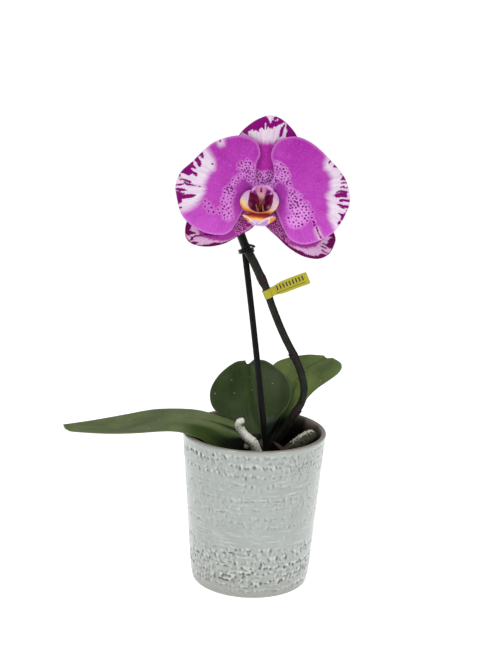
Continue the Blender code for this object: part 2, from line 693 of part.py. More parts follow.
def make_label():
    """The label: a strip looped round the stem, its two ends laid together as a tab."""
    reach = STEM_RADIUS + 3 * GAP + LABEL_THICKNESS
    inner = reach - LABEL_THICKNESS
    half = 0.8 * LABEL_THICKNESS
    curve = bpy.data.curves.new("label_outline", "CURVE")
    curve.dimensions = "2D"
    curve.fill_mode = "BOTH"
    curve.extrude = LABEL_WIDTH / 2
    start = math.asin(half / reach)
    steps = 22
    outer = [
        (reach * math.cos(start + (2 * math.pi - 2 * start) * step / steps),
         reach * math.sin(start + (2 * math.pi - 2 * start) * step / steps))
        for step in range(steps + 1)
    ]
    outer += [(LABEL_TAB, -half), (LABEL_TAB, half)]
    hole = [(inner * math.cos(2 * math.pi * step / steps), inner * math.sin(2 * math.pi * step / steps))
            for step in range(steps)]
    for ring in (outer, hole):
        line = curve.splines.new("POLY")
        line.points.add(len(ring) - 1)
        line.use_cyclic_u = True
        for held, (x, y) in zip(line.points, ring):
            held.co = (x, y, 0.0, 1.0)
    made = place("label_outline", curve, None)
    made.matrix_world = Matrix.Translation(mm(LABEL_PLACE)) @ Matrix.Rotation(-LABEL_SLOPE, 4, "Y")
    return as_mesh(made, "label_tag", finish("yellow label film", (0.58, 0.55, 0.02), 0.4))


def make_roots():
    """The air roots: the silvery one with its stub, the mossy one and two that dive into the bark."""
    pale = as_mesh(root_tube("pale_tube", PALE_ROUTE, PALE_RADII, None), "pale_tube")
    stub_radii = (PALE_STUB_RADIUS / MM, 0.8 * PALE_STUB_RADIUS / MM)
    stub = as_mesh(root_tube("stub_tube", PALE_STUB, stub_radii, None, 5), "stub_tube")
    fused("root_pale", [pale, stub], finish("silver root skin", (0.42, 0.42, 0.36), 0.8))
    mossy = root_tube("root_mossy", MOSSY_ROUTE, MOSSY_RADII, None)
    as_mesh(mossy, "root_mossy", finish("mossy root skin", (0.16, 0.16, 0.09), 0.85))
    inner = (("root_inner_a", INNER_A_ROUTE), ("root_inner_b", INNER_B_ROUTE))
    for name, route in inner:
        made = root_tube(name, route, (INNER_RADIUS / MM, 0.8 * INNER_RADIUS / MM), None, INNER_POINTS)
        as_mesh(made, name, finish(name.replace("_", " "), (0.30, 0.29, 0.20), 0.85))


def make_dry_sheath():
    """The dry sheath: a V-shaped strip on a thin foot that stands in the bark."""
    line = evenly(SHEATH_ROUTE, 11)

    def surface(share, across):
        depth = SHEATH_DEPTH * math.sin(math.pi * min(max(share, 0.12), 0.88)) * (2 * across - 1)
        return spline(line, share) * MM + Vector((0.0, depth, 0.0))

    strip = as_mesh(blade("sheath_strip", surface, (12, 3), SHEATH_THICKNESS, None), "sheath_strip")
    foot_line = [point * MM for point in evenly(SHEATH_FOOT, 4)]
    foot = tube("sheath_foot", foot_line, [SHEATH_FOOT_RADIUS] * 4, None)
    return fused("dry_sheath", [strip, as_mesh(foot, "sheath_foot")], finish("dry sheath", (0.16, 0.06, 0.03), 0.8))


def make_tepals():
    """The three sepals behind and the two petals before them."""
    petal_colour = (0.46, 0.055, 0.46)
    sepal_colour = (0.33, 0.03, 0.30)
    pieces = (
        ("sepal_dorsal", SEPAL_DORSAL, ((-2.5, 3.45), (2.5, 3.45)), sepal_depth(0.4), sepal_colour),
        ("sepal_left", SEPAL_LEFT, ((-0.5, -3.6), (-3.6, -1.6)), sepal_depth(1.1), sepal_colour),
        ("sepal_right", SEPAL_RIGHT, ((0.5, -3.6), (3.6, -1.6)), sepal_depth(2.0), sepal_colour),
        ("petal_left", PETAL_LEFT, ((-3.7, 2.4), (-3.7, -2.4)), petal_depth(0.3), petal_colour),
        ("petal_right", PETAL_RIGHT, ((3.7, 2.4), (3.7, -2.4)), petal_depth(1.9), petal_colour),
    )
    for name, outline, claw, depth, colour in pieces:
        tepal(name, outline, claw, depth, finish(name.replace("_", " "), colour, 0.45))


def make_lip():
    """The lip: cup, callus and middle lobe, fused as the one piece that it grew as."""
    rim = evenly(LIP_CUP, 19)

    def cup(round_share, outward):
        middle = Vector(LIP_FOOT).lerp(Vector(LIP_MOUTH), outward)
        turn = LIP_TURN[0] + (LIP_TURN[1] - LIP_TURN[0]) * outward
        spot = middle.lerp(spline(rim, round_share), math.sin(turn * math.pi))
        return bloom_point(spot.x, spot.y, LIP_FOOT_DEPTH + LIP_DEPTH * outward**0.9)

    foot, crest, tip = LIP_LOBE_DEPTH

    def lobe(share, across):
        left, right = (spline(rail, share) for rail in LIP_LOBE)
        spot = left.lerp(right, across)
        rise = foot + (tip - foot) * share + (crest - (foot + tip) / 2) * math.sin(math.pi * share)
        keel = LIP_LOBE_KEEL * math.sin(math.pi * across) * math.sin(math.pi * share)
        return bloom_point(spot.x, spot.y, rise + keel)

    pieces = [
        as_mesh(blade("lip_cup", cup, (16, 7), LIP_THICKNESS, None), "lip_cup"),
        as_mesh(blade("lip_lobe", lobe, (8, 6), LIP_THICKNESS, None), "lip_lobe"),
        bulge("lip_callus", bloom_point(*CALLUS_PLACE), (CALLUS_SIZE[0], CALLUS_SIZE[2], CALLUS_SIZE[1]), UPRIGHT),
    ]
    return fused("lip", pieces, finish("lip flesh", (0.72, 0.30, 0.22), 0.4))


def make_column():
    """The column: a short arched body that widens towards its rounded cap."""
    points = [bloom_point(*spot) for spot in COLUMN_ROUTE]
    column = tube("column", points, [radius * MM for radius in COLUMN_RADII], None, 4)
    return as_mesh(column, "column", finish("column flesh", (0.68, 0.30, 0.52), 0.4))


def main():
    """Builds every piece in its own named object."""
    global parts, cutters
    for made in list(bpy.data.objects):
        bpy.data.objects.remove(made)
    parts = bpy.data.collections.new("potted_orchid")
    cutters = bpy.data.collections.new("cutters")
    for group in (parts, cutters):
        bpy.context.scene.collection.children.link(group)
    make_cover_pot()
    make_grow_pot()
    make_bark_mix()
    make_crown()
    make_leaves()
    make_flower_stem()
    make_stake()
    make_tie()
    make_label()
    make_roots()
    make_dry_sheath()
    make_tepals()
    make_lip()
    make_column()
    for made in parts.objects:
        if made.type == "MESH" and not made.modifiers:
            smooth(made.data)


main()
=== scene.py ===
"""Potted moth orchid with one open bloom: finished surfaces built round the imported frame.

Metres, +Z up. The pot stands on Z = 0 with its axis on X = Y = 0, and the bloom faces -Y. Routes, outlines
and marks are written in millimetres and are multiplied by MM once, where a mesh is laid.
"""

import logging
import math
import random
from dataclasses import dataclass, field
from enum import Enum
from functools import partial
from typing import Any, Callable, Sequence

import bmesh
import bpy
import numpy as np
from mathutils import Matrix, Vector


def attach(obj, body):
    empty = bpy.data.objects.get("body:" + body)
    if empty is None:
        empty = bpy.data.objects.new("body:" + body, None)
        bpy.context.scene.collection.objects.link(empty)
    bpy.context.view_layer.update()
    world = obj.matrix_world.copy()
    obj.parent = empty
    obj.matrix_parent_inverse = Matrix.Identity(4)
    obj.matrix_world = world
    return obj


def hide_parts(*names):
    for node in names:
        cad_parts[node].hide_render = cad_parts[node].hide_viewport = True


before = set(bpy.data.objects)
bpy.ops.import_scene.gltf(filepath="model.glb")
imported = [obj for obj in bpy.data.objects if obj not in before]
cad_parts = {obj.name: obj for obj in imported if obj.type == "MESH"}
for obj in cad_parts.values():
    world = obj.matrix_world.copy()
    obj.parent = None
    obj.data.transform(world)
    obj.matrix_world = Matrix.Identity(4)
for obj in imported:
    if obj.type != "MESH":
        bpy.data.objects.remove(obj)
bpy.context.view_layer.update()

MM = 0.001
BODY = "root"
LOG = logging.getLogger("orchid")

Grid = np.ndarray
Values = dict[str, Any]
Line = Sequence[Sequence[float]]
Pair = tuple[float, float]
Triple = tuple[float, float, float]
Material = bpy.types.Material
Piece = bpy.types.Object
Tree = bpy.types.NodeTree
Socket = bpy.types.NodeSocket
Maker = Callable[..., Socket]


def linear(code: str) -> tuple[float, float, float, float]:
    """Turns an sRGB hex colour into linear red, green, blue and a full alpha.

    Args:
        code: The colour as "#rrggbb".

    Returns:
        Four channels, from 0 to 1.
    """
    parts = [int(code[place : place + 2], 16) / 255 for place in (1, 3, 5)]
    curved = [part / 12.92 if part <= 0.04045 else ((part + 0.055) / 1.055) ** 2.4 for part in parts]
    return curved[0], curved[1], curved[2], 1.0


def per_mm(size: float) -> float:
    """The scale of a pattern in metres whose features are so many millimetres apart."""
    return 1.0 / (size * MM)


# The settings and the output that a kind of node is used with, unless a call says otherwise
USUAL: dict[str, tuple[dict[str, str], int | str]] = {
    "Attribute": ({}, "Fac"),
    "Math": ({"operation": "MULTIPLY_ADD"}, 0),
    "Mix": ({"data_type": "RGBA"}, 2),
    "TexCoord": ({}, "Object"),
}


def add(
    tree: Tree,
    kind: str,
    inputs: dict[Any, Any] | None = None,
    out: int | str | None = None,
    ramp: Sequence[tuple[float, str]] = (),
    **settings: Any,
) -> Socket:
    """Adds a shader node with its settings and links.

    Args:
        tree: The material's or the world's node tree.
        kind: The node's type, without the ShaderNode that its name begins with.
        inputs: For each input's name or number, a value, a hex colour, or the output that is linked to it.
        out: The name or number of the output to hand back, where it is not the usual one.
        ramp: The places and hex colours of a colour ramp.
        settings: The node's own properties.

    Returns:
        The asked output.
    """
    node = tree.nodes.new("ShaderNode" + kind)
    usual, output = USUAL.get(kind, ({}, 0))
    for name, value in {**usual, **settings}.items():
        setattr(node, name, value)
    for step, (place, code) in enumerate(ramp):
        stops = node.color_ramp.elements
        stop = stops[step] if step < 2 else stops.new(place)
        stop.position = place
        stop.color = linear(code)
    for name, value in (inputs or {}).items():
        if isinstance(value, Socket):
            tree.links.new(value, node.inputs[name])
        else:
            node.inputs[name].default_value = linear(value) if isinstance(value, str) else value
    return node.outputs[output if out is None else out]


@dataclass(frozen=True)
class Finish:
    """What every finish has: a name, and even values set on the shader itself."""

    name: str

    def start(self, **even: float) -> tuple[Material, Maker]:
        """Begins the material.

        Args:
            even: Values that are the same all over, by the shader's input names with _ for a space.

        Returns:
            The material, and the function that adds a node to it.
        """
        made = bpy.data.materials.new(self.name)
        made.use_nodes = True
        shader = made.node_tree.nodes["Principled BSDF"]
        for key, value in even.items():
            shader.inputs[key.replace("_", " ")].default_value = value
        return made, partial(add, made.node_tree)


def dress(
    made: Material,
    colour: Socket,
    roughness: Socket | None = None,
    height: Socket | None = None,
    depth: float = 0.1,
) -> Material:
    """Links a finish's patterns to its shader.

    Args:
        made: The material.
        colour: The base colour.
        roughness: The roughness, where it varies.
        height: A relief pattern from 0 to 1.
        depth: The real depth of that relief, in millimetres.

    Returns:
        The material.
    """
    tree = made.node_tree
    shader = tree.nodes["Principled BSDF"]
    tree.links.new(colour, shader.inputs["Base Color"])
    if roughness:
        tree.links.new(roughness, shader.inputs["Roughness"])
    if height:
        bump = add(tree, "Bump", {"Height": height, "Distance": depth * MM, "Strength": 1.0})
        tree.links.new(bump, shader.inputs["Normal"])
    return made


def sweep(count: int) -> np.ndarray:
    """Shares from 0 to 1, both ends with them."""
    return np.linspace(0, 1, count)


def circuit(count: int) -> np.ndarray:
    """Shares of a turn from 0 up to the last before 1."""
    return np.linspace(0, 1, count, endpoint=False)


def circle(count: int) -> np.ndarray:
    """Points round a circle with a radius of one, one to a row."""
    turn = math.tau * circuit(count)
    return np.stack([np.cos(turn), np.sin(turn)], axis=1)


def hump(values: Any, width: float) -> np.ndarray:
    """A soft hump: 1 at 0, about a third at the width, and 0 far away."""
    return np.exp(-((values / width) ** 2))


def rising(values: Any, low: float, high: float) -> np.ndarray:
    """A smooth step from 0 at low to 1 at high, or the other way where low is the greater."""
    share = np.clip((np.asarray(values, float) - low) / (high - low), 0, 1)
    return share * share * (3 - 2 * share)


def curve(points: Line, shares: Any) -> np.ndarray:
    """Places on the smooth curve through evenly numbered points.

    Args:
        points: The points that the curve passes through.
        shares: Shares of the way along, from 0 to 1, in any shape.

    Returns:
        The places, in the shape of the shares with one more axis.
    """
    held = np.asarray(points, float)
    spans = len(held) - 1
    held = np.vstack([2 * held[0] - held[1], held, 2 * held[-1] - held[-2]])
    place = np.clip(np.asarray(shares, float), 0.0, 1.0) * spans
    first = np.minimum(place.astype(int), spans - 1)
    part = (place - first)[..., None]
    before, start, end, after = (held[first + step] for step in range(4))
    square = part * part
    cube = square * part
    return (
        start * (2 * cube - 3 * square + 1)
        + (end - before) / 2 * (cube - 2 * square + part)
        + end * (3 * square - 2 * cube)
        + (after - start) / 2 * (cube - square)
    )


def evenly(points: Line, count: int, fineness: int = 16) -> np.ndarray:
    """Points at equal steps along the smooth curve through the given points.

    Args:
        points: The points that the curve passes through.
        count: How many points to return.
        fineness: How many short steps each span is measured with.

    Returns:
        The points, one to a row.
    """
    dense = curve(points, sweep((len(points) - 1) * fineness + 1))
    reach = np.concatenate([[0.0], np.cumsum(np.linalg.norm(np.diff(dense, axis=0), axis=1))])
    steps = np.linspace(0, reach[-1], count)
    return np.stack([np.interp(steps, reach, dense[:, axis]) for axis in range(dense.shape[1])], axis=1)


def unit(vectors: np.ndarray) -> np.ndarray:
    """The same directions with a length of one."""
    return vectors / np.maximum(np.linalg.norm(vectors, axis=-1, keepdims=True), 1e-12)


def ripples(along: Any, around: Any, span: Pair, seed: int, count: int = 14) -> np.ndarray:
    """A smooth seeded noise that closes on itself round a tube or a pot.

    Args:
        along: Places along, in units of the piece's own choice.
        around: Places round, as shares of a turn.
        span: The fewest and the most waves in one unit along and in one turn.
        seed: The seed of the waves.
        count: How many waves are summed.

    Returns:
        Values of about -1 to 1.
    """
    draw = random.Random(seed)
    total = np.zeros(np.broadcast(along, around).shape)
    for _ in range(count):
        lengthwise = draw.uniform(*span) * draw.choice((-1, 1))
        crosswise = round(draw.uniform(-span[1], span[1]))
        phase = draw.uniform(0, math.tau)
        total += np.cos(math.tau * (lengthwise * along + crosswise * around) + phase)
    return total / math.sqrt(2.0 * count)


def tube_grid(line: np.ndarray, radii: Any, sides: int) -> Grid:
    """Rings of points round a line.

    Args:
        line: The centre line, one point to a row.
        radii: The radius at each point, or at each point and side.
        sides: The points in a ring.

    Returns:
        The rings, as rows x sides x 3.
    """
    heading = unit(np.gradient(line, axis=0))
    side = np.cross(heading[0], (0.0, 0.0, 1.0) if abs(heading[0][2]) < 0.9 else (0.0, 1.0, 0.0))
    turn = np.linspace(0, math.tau, sides, endpoint=False)
    wide = np.broadcast_to(np.asarray(radii, float).reshape(len(line), -1), (len(line), sides))
    rings = []
    for spot, ahead, reach in zip(line, heading, wide):
        side = unit(side - ahead * np.dot(side, ahead))
        up = np.cross(ahead, side)
        rings.append(spot + reach[:, None] * (np.cos(turn)[:, None] * side - np.sin(turn)[:, None] * up))
    return np.array(rings)


def facing(grid: Grid) -> np.ndarray:
    """The direction that each point of a grid faces: rows crossed with columns."""
    return unit(np.cross(np.gradient(grid, axis=0), np.gradient(grid, axis=1)))


class Draft:
    """A mesh being laid down: grids of points, the faces between them, and the values that points carry."""

    def __init__(self) -> None:
        """Starts with nothing."""
        self.points: list[np.ndarray] = []
        self.faces: list[list[int]] = []
        self.values: dict[str, list[tuple[int, np.ndarray]]] = {}
        self.total = 0

    def take(self, points: np.ndarray, **values: Any) -> int:
        """Adds loose points.

        Args:
            points: The points, in metres, one to a row.
            values: For each name, a value or one for each point.

        Returns:
            The number of the first of them.
        """
        first = self.total
        for name, value in values.items():
            whole = np.broadcast_to(value, len(points)).astype(float)
            self.values.setdefault(name, []).append((first, whole))
        self.points.append(np.asarray(points, float))
        self.total += len(points)
        return first

    def lay(
        self,
        grid: Grid,
        wrap: bool = False,
        flip: bool = False,
        ends: tuple[bool, bool] = (False, False),
        **values: Any,
    ) -> np.ndarray:
        """Lays a grid of points with faces between them, which face along rows crossed with columns.

        Args:
            grid: The points in metres, as rows x columns x 3.
            wrap: Whether the last column joins the first.
            flip: Whether the faces turn the other way.
            ends: Whether the first and the last row are closed with a fan.
            values: For each name, a value or one for each point of the grid.

        Returns:
            The numbers of the points, as rows x columns.
        """
        shape = grid.shape[:2]
        spread = {name: np.broadcast_to(value, shape) for name, value in values.items()}
        first = self.take(grid.reshape(-1, 3), **{name: part.ravel() for name, part in spread.items()})
        index = first + np.arange(grid.size // 3).reshape(shape)
        turned = np.concatenate([index, index[:, :1]], axis=1) if wrap else index
        quads = np.stack([turned[:-1, :-1], turned[1:, :-1], turned[1:, 1:], turned[:-1, 1:]], axis=-1)
        quads = quads.reshape(-1, 4)
        self.faces += (quads[:, ::-1] if flip else quads).tolist()
        for row, closed in ((0, ends[0]), (-1, ends[1])):
            if closed:
                ring = turned[row] if (row == 0) != flip else turned[row][::-1]
                mean = {name: part[row].mean() for name, part in spread.items()}
                middle = self.take(grid[row].mean(axis=0)[None], **mean)
                self.faces += [[middle, start, end] for start, end in zip(ring.tolist(), ring[1:].tolist())]
        return index

    def tube(self, line: np.ndarray, radii: Any, sides: int, **values: Any) -> None:
        """Lays a tube with closed ends.

        Args:
            line: The centre line in metres, one point to a row.
            radii: The radius in metres at each point, or at each point and side.
            sides: The points in a ring.
            values: For each name, a value or one for each point of the rings.
        """
        self.lay(tube_grid(line, radii, sides), True, False, (True, True), **values)

    def pair(self, top: Grid, under: Grid, flip: bool, front: Values, back: Values) -> None:
        """Lays the two faces of a closed blade, and joins their borders.

        Args:
            top: The points of the front in metres, as rows x columns x 3.
            under: The points of the back.
            flip: Whether the front faces against rows crossed with columns.
            front: The front's values.
            back: The back's values.
        """
        faces = (self.lay(top, False, flip, **front), self.lay(under, False, not flip, **back))
        loops = [
            np.concatenate([index[0, :-1], index[:-1, -1], index[-1, :0:-1], index[:0:-1, 0], index[0, :1]])
            for index in faces
        ]
        sides = np.stack([loops[0][:-1], loops[0][1:], loops[1][1:], loops[1][:-1]], axis=1)
        self.faces += (sides[:, ::-1] if flip else sides).tolist()

    def shell(
        self,
        grid: Grid,
        thickness: Any,
        toward: Any,
        own: tuple[Values, Values] = ({"side": 1.0}, {"side": 0.0}),
        **values: Any,
    ) -> None:
        """Lays a thin closed blade round a grid.

        Args:
            grid: The middle of the blade in metres, as rows x columns x 3.
            thickness: The thickness in metres, one or one for each point.
            toward: The direction that its front faces, roughly, one or one for each point.
            own: The values that only the front and only the back carry.
            values: For each name, a value or one for each point of the grid.
        """
        normal = facing(grid)
        flip = float((normal * np.asarray(toward, float)).sum()) < 0
        reach = (-normal if flip else normal) * np.broadcast_to(thickness, grid.shape[:2])[..., None] / 2
        self.pair(grid + reach, grid - reach, flip, {**own[0], **values}, {**own[1], **values})

    def build(self, name: str, finish: Material, sharp: float = 50.0) -> Piece:
        """Makes the object.

        Args:
            name: The piece's name.
            finish: Its material.
            sharp: The angle in degrees past which an edge stays sharp.

        Returns:
            The new object.
        """
        mesh = bpy.data.meshes.new(name)
        mesh.from_pydata(np.concatenate(self.points).tolist(), [], self.faces)
        for key, parts in self.values.items():
            whole = np.zeros(self.total, np.float32)
            for first, part in parts:
                whole[first : first + len(part)] = part
            mesh.attributes.new(key, "FLOAT", "POINT").data.foreach_set("value", whole)
        mesh.materials.append(finish)
        mesh.shade_smooth()
        mesh.set_sharp_from_angle(angle=math.radians(sharp))
        made = bpy.data.objects.new(name, mesh)
        bpy.context.scene.collection.objects.link(made)
        return made


def settle(piece: Piece, slot: str, *nodes: str) -> Piece:
    """Lets a piece ride and stand for its CAD nodes, and reports it."""
    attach(piece, BODY)
    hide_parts(*nodes)
    LOG.info("%s: %d faces for %s", piece.name, len(piece.data.polygons), ", ".join(nodes))
    return piece


def nearest(spots: np.ndarray, others: np.ndarray) -> np.ndarray:
    """How far each place is from the nearest of some others."""
    away = np.full(len(spots), np.inf)
    for other in others:
        away = np.minimum(away, np.linalg.norm(spots - other, axis=1))
    return away


def polygon_gap(spots: np.ndarray, corners: Line) -> np.ndarray:
    """The distance from places in a plane to a polygon, negative inside it.

    Args:
        spots: The places, one to a row.
        corners: The polygon's corners, or the two ends of a line.

    Returns:
        One distance for each place.
    """
    starts = np.asarray(corners, float)
    away = np.full(len(spots), np.inf)
    inside = np.zeros(len(spots), bool)
    for start, end in zip(starts, np.roll(starts, -1, axis=0)):
        along = end - start
        share = np.clip((spots - start) @ along / max(along @ along, 1e-9), 0.0, 1.0)
        away = np.minimum(away, np.linalg.norm(spots - start - share[:, None] * along, axis=1))
        crossed = (start[1] > spots[:, 1]) != (end[1] > spots[:, 1])
        rise = along[1] if abs(along[1]) > 1e-9 else 1e-9
        inside ^= crossed & (spots[:, 0] < start[0] + (spots[:, 1] - start[1]) * along[0] / rise)
    return np.where(inside, -away, away)


# Pot

class Stitch(Enum):
    """A mark that the cloth left in the clay: half its width, half its height and its slant, in mm."""

    PIT = (1.15, 1.25, 0.0)
    UPRIGHT = (0.9, 2.2, 0.0)
    LEVEL = (2.3, 0.75, 0.0)
    LEFT = (0.85, 2.0, 0.5)
    RIGHT = (0.85, 2.0, -0.5)
    KNOT = (1.6, 1.5, 0.0)


@dataclass(frozen=True)
class ReliefBand:
    """One level band of the pot's relief: its heights in millimetres, and how deep and how full it is."""

    low: float
    high: float
    strength: float
    filled: float
    kinds: tuple[Stitch, ...]


@dataclass(frozen=True)
class GlazedStoneware(Finish):
    """Stoneware, pressed with coarse cloth, then dipped in a pale glaze and fired.

    The glaze is satin and nearly even, and breaks to a brown line along the inside of the rim.
    The pressed marks carry painted shade in dark grey, the raised threads beside them a painted highlight,
    and the inner wall painted shade that darkens to near black at the pot's floor.
    """

    glaze: str = "#989d98"
    thick: str = "#a4aaa4"
    # The thin colour is the darker, greyer tone toward the foot
    thin: str = "#8e8d86"
    # The raised colour is a painted highlight on the threads, the pit colour painted shade in the pressed
    # marks
    raised: str = "#c9ccc6"
    pit_shade: str = "#58554e"
    rim: str = "#84776a"
    inside: str = "#8b7868"
    # The deep colour is painted shade, deep in the pot
    deep: str = "#0f0b08"

    def material(self) -> Material:
        """Makes the material."""
        made, put = self.start(Roughness=0.36, IOR=1.5, Coat_Weight=0.7, Coat_Roughness=0.06)
        place = put("TexCoord")
        press, ridge, rim, inner, low = (
            put("Attribute", attribute_name=name)
            for name in ("press", "ridge", "rim", "inner", "low")
        )
        # Clouding of the glaze, about 22 mm across, and a fine speckle of about 1.3 mm
        cloud = put("TexNoise", {"Vector": place, "Scale": per_mm(22)})
        speck = put("TexNoise", {"Vector": place, "Scale": per_mm(1.3), "Detail": 3.0})
        # The cloth's print shows faintly everywhere, as smudges about 3 mm across
        smudge = put("TexNoise", {"Vector": place, "Scale": per_mm(3.2)})
        layered = put("Math", {0: smudge, 1: 0.9, 2: cloud})
        share = put("MapRange", {0: layered, 1: 0.6, 2: 1.3})
        dipped = put("Mix", {0: share, 6: self.glaze, 7: self.thick})
        # Darker and greyer toward the foot, over the lowest 30 mm
        height = put("SeparateXYZ", {0: place}, 2)
        toward_foot = put("MapRange", {0: height, 2: 0.030, 3: 0.75, 4: 0.0})
        body = put("Mix", {0: toward_foot, 6: dipped, 7: self.thin})
        # Painted highlight on the raised threads, then painted shade in the pressed marks
        uneven = put("Math", {0: speck, 1: 0.5}, operation="SUBTRACT")
        lifted = put("Math", {0: uneven, 1: 0.35, 2: ridge})
        ridge_highlight = put("MapRange", {0: lifted, 1: 0.05, 2: 0.9})
        paler = put("Mix", {0: ridge_highlight, 6: body, 7: self.raised})
        sunk = put("Math", {0: uneven, 1: 0.45, 2: press})
        pit_shading = put("MapRange", {0: sunk, 1: 0.10, 2: 0.85})
        marked = put("Mix", {0: pit_shading, 6: paler, 7: self.pit_shade})
        line = put("Mix", {0: rim, 6: marked, 7: self.rim})
        # Painted shade on the inner wall, from the inside colour near the rim to near black at its floor
        wall = put("Mix", {0: low, 6: self.inside, 7: self.deep})
        colour = put("Mix", {0: inner, 6: line, 7: wall})
        rough = put("MapRange", {0: sunk, 3: 0.32, 4: 0.6})
        return dress(made, colour, rough, speck, 0.12)


@dataclass
class CoverPot:
    """The cover pot: a turned shell whose outside carries a relief like woven cloth. Sizes in millimetres.

    Pressed, raised and uneven are the depths of the marks, of the threads and of the glaze's own waves. The
    wall is tucked in above the foot.
    """

    height: float = 142.5
    rim_radius: float = 65.4
    base_radius: float = 54.1
    wall: float = 4.6
    floor: float = 7.0
    foot_round: float = 3.0
    around: int = 460
    rows: int = 176
    row_pitch: float = 4.3
    cell_pitch: float = 4.0
    bands: tuple[ReliefBand, ...] = (
        ReliefBand(4.4, 14.4, 0.90, 0.85, (Stitch.PIT, Stitch.UPRIGHT, Stitch.PIT, Stitch.LEVEL)),
        ReliefBand(14.4, 32.0, 1.15, 1.0, (Stitch.PIT, Stitch.PIT, Stitch.PIT, Stitch.LEVEL, Stitch.LEFT)),
        ReliefBand(32.0, 50.0, 0.95, 0.85, (Stitch.UPRIGHT, Stitch.PIT, Stitch.LEFT, Stitch.RIGHT,
                                            Stitch.LEVEL)),
        ReliefBand(50.0, 67.0, 0.30, 0.30, (Stitch.LEVEL, Stitch.PIT)),
        ReliefBand(67.0, 76.0, 0.62, 0.9, (Stitch.PIT, Stitch.LEFT, Stitch.PIT, Stitch.LEVEL)),
        ReliefBand(76.0, 97.0, 0.50, 0.8, (Stitch.PIT, Stitch.UPRIGHT, Stitch.RIGHT, Stitch.LEVEL)),
        ReliefBand(97.0, 116.0, 0.48, 0.6, (Stitch.LEVEL, Stitch.UPRIGHT, Stitch.PIT)),
        ReliefBand(116.0, 138.0, 0.92, 0.92, (Stitch.UPRIGHT, Stitch.PIT, Stitch.RIGHT, Stitch.KNOT,
                                              Stitch.PIT)),
    )
    pressed: float = 0.80
    raised: float = 0.34
    uneven: float = 0.05
    tucked: float = 1.5
    loose_threads: int = 300
    thread_spans: tuple[Pair, ...] = ((66, 118), (50, 66), (18, 134))
    thread_width: float = 0.75
    rim_line: float = 1.2
    seed: int = 21

    def outer(self, height: Any) -> Any:
        """The outside radius at a height."""
        return self.base_radius + (self.rim_radius - self.base_radius) * height / self.height

    def stamp(
        self,
        layer: np.ndarray,
        turn: np.ndarray,
        heights: np.ndarray,
        place: Pair,
        size: Triple,
        force: float,
    ) -> None:
        """Presses one soft-edged mark into a layer, where it is deeper than what is there.

        Args:
            layer: The layer, with a row for each height and a column for each place round the pot.
            turn: The columns' places, as shares of a turn.
            heights: The rows' heights in millimetres.
            place: The mark's share of a turn and its height.
            size: Half its width, half its height and its slant.
            force: How strong it is.
        """
        half_wide, half_high, slant = size
        girth = math.tau * self.outer(place[1])
        rows = np.flatnonzero(np.abs(heights - place[1]) < 1.9 * half_high)
        offset = ((turn - place[0] + 0.5) % 1.0 - 0.5) * girth
        columns = np.flatnonzero(np.abs(offset) < 1.9 * (half_wide + abs(slant) * half_high))
        if not len(rows) or not len(columns):
            return
        upward = (heights[rows] - place[1])[:, None]
        across = offset[columns][None, :] - slant * upward
        mark = force * np.exp(-(((across / half_wide) ** 2 + (upward / half_high) ** 2) ** 1.5))
        window = np.ix_(rows, columns)
        layer[window] = np.maximum(layer[window], mark)

    def relief(self, turn: np.ndarray, heights: np.ndarray) -> tuple[np.ndarray, np.ndarray]:
        """The cloth's marks and the threads raised beside them, each from 0 to about 1, over the outside.

        Args:
            turn: The columns' places, as shares of a turn.
            heights: The rows' heights in millimetres.

        Returns:
            How deep the outside is pressed, and how far it is raised, at each row and column.
        """
        draw = random.Random(self.seed)
        press = np.zeros((len(heights), len(turn)))
        ridge = np.zeros_like(press)
        patch = ripples(heights[:, None] / 45.0, turn[None, :], (0.5, 6.0), self.seed + 1)
        for band in self.bands:
            rows = max(1, round((band.high - band.low) / self.row_pitch))
            for step in range(rows):
                level = band.low + (step + 0.5) * (band.high - band.low) / rows
                cells = round(math.tau * self.outer(level) / self.cell_pitch)
                drift = draw.random()
                for cell in range(cells):
                    if draw.random() > band.filled:
                        continue
                    turned = ((cell + drift + draw.uniform(-0.45, 0.45)) / cells) % 1.0
                    lift = level + draw.uniform(-1.3, 1.3)
                    row = min(int(np.searchsorted(heights, lift)), len(heights) - 1)
                    near = patch[row, int(turned * len(turn)) % len(turn)]
                    force = band.strength * draw.uniform(0.45, 1.0) * min(max(0.75 + 0.6 * near, 0.1), 1.3)
                    scale = draw.uniform(0.8, 1.35)
                    wide, high, slant = draw.choice(band.kinds).value
                    size = (wide * scale, high * scale, slant)
                    self.stamp(press, turn, heights, (turned, lift), size, force)
                    aside = (turned + draw.choice((-1, 1)) * draw.uniform(0.40, 0.6) / cells) % 1.0
                    above = lift + draw.uniform(0.4, 2.0)
                    wide, high, slant = draw.choice((Stitch.KNOT.value, (wide * 1.2, high * 1.1, slant)))
                    size = (wide * scale, high * scale, slant)
                    self.stamp(ridge, turn, heights, (aside, above), size, 0.95 * force)
        # Loose threads lie over the cloth, each with a shallow furrow under it
        for _ in range(self.loose_threads):
            spot = draw.random()
            level = draw.choice([draw.uniform(*span) for span in self.thread_spans])
            long_way = draw.uniform(2.5, 10)
            wide, high, slant = long_way, self.thread_width, 0.0
            if draw.random() >= 0.6:
                wide, high, slant = self.thread_width, 0.6 * long_way, draw.uniform(-0.4, 0.4)
            force = draw.uniform(0.2, 0.7)
            self.stamp(ridge, turn, heights, (spot, level), (wide, high, slant), force)
            self.stamp(press, turn, heights, (spot, level - 1.5), (wide, high * 0.8, slant), 0.4 * force)
        return press, ridge * (1 - np.clip(press, 0, 1))

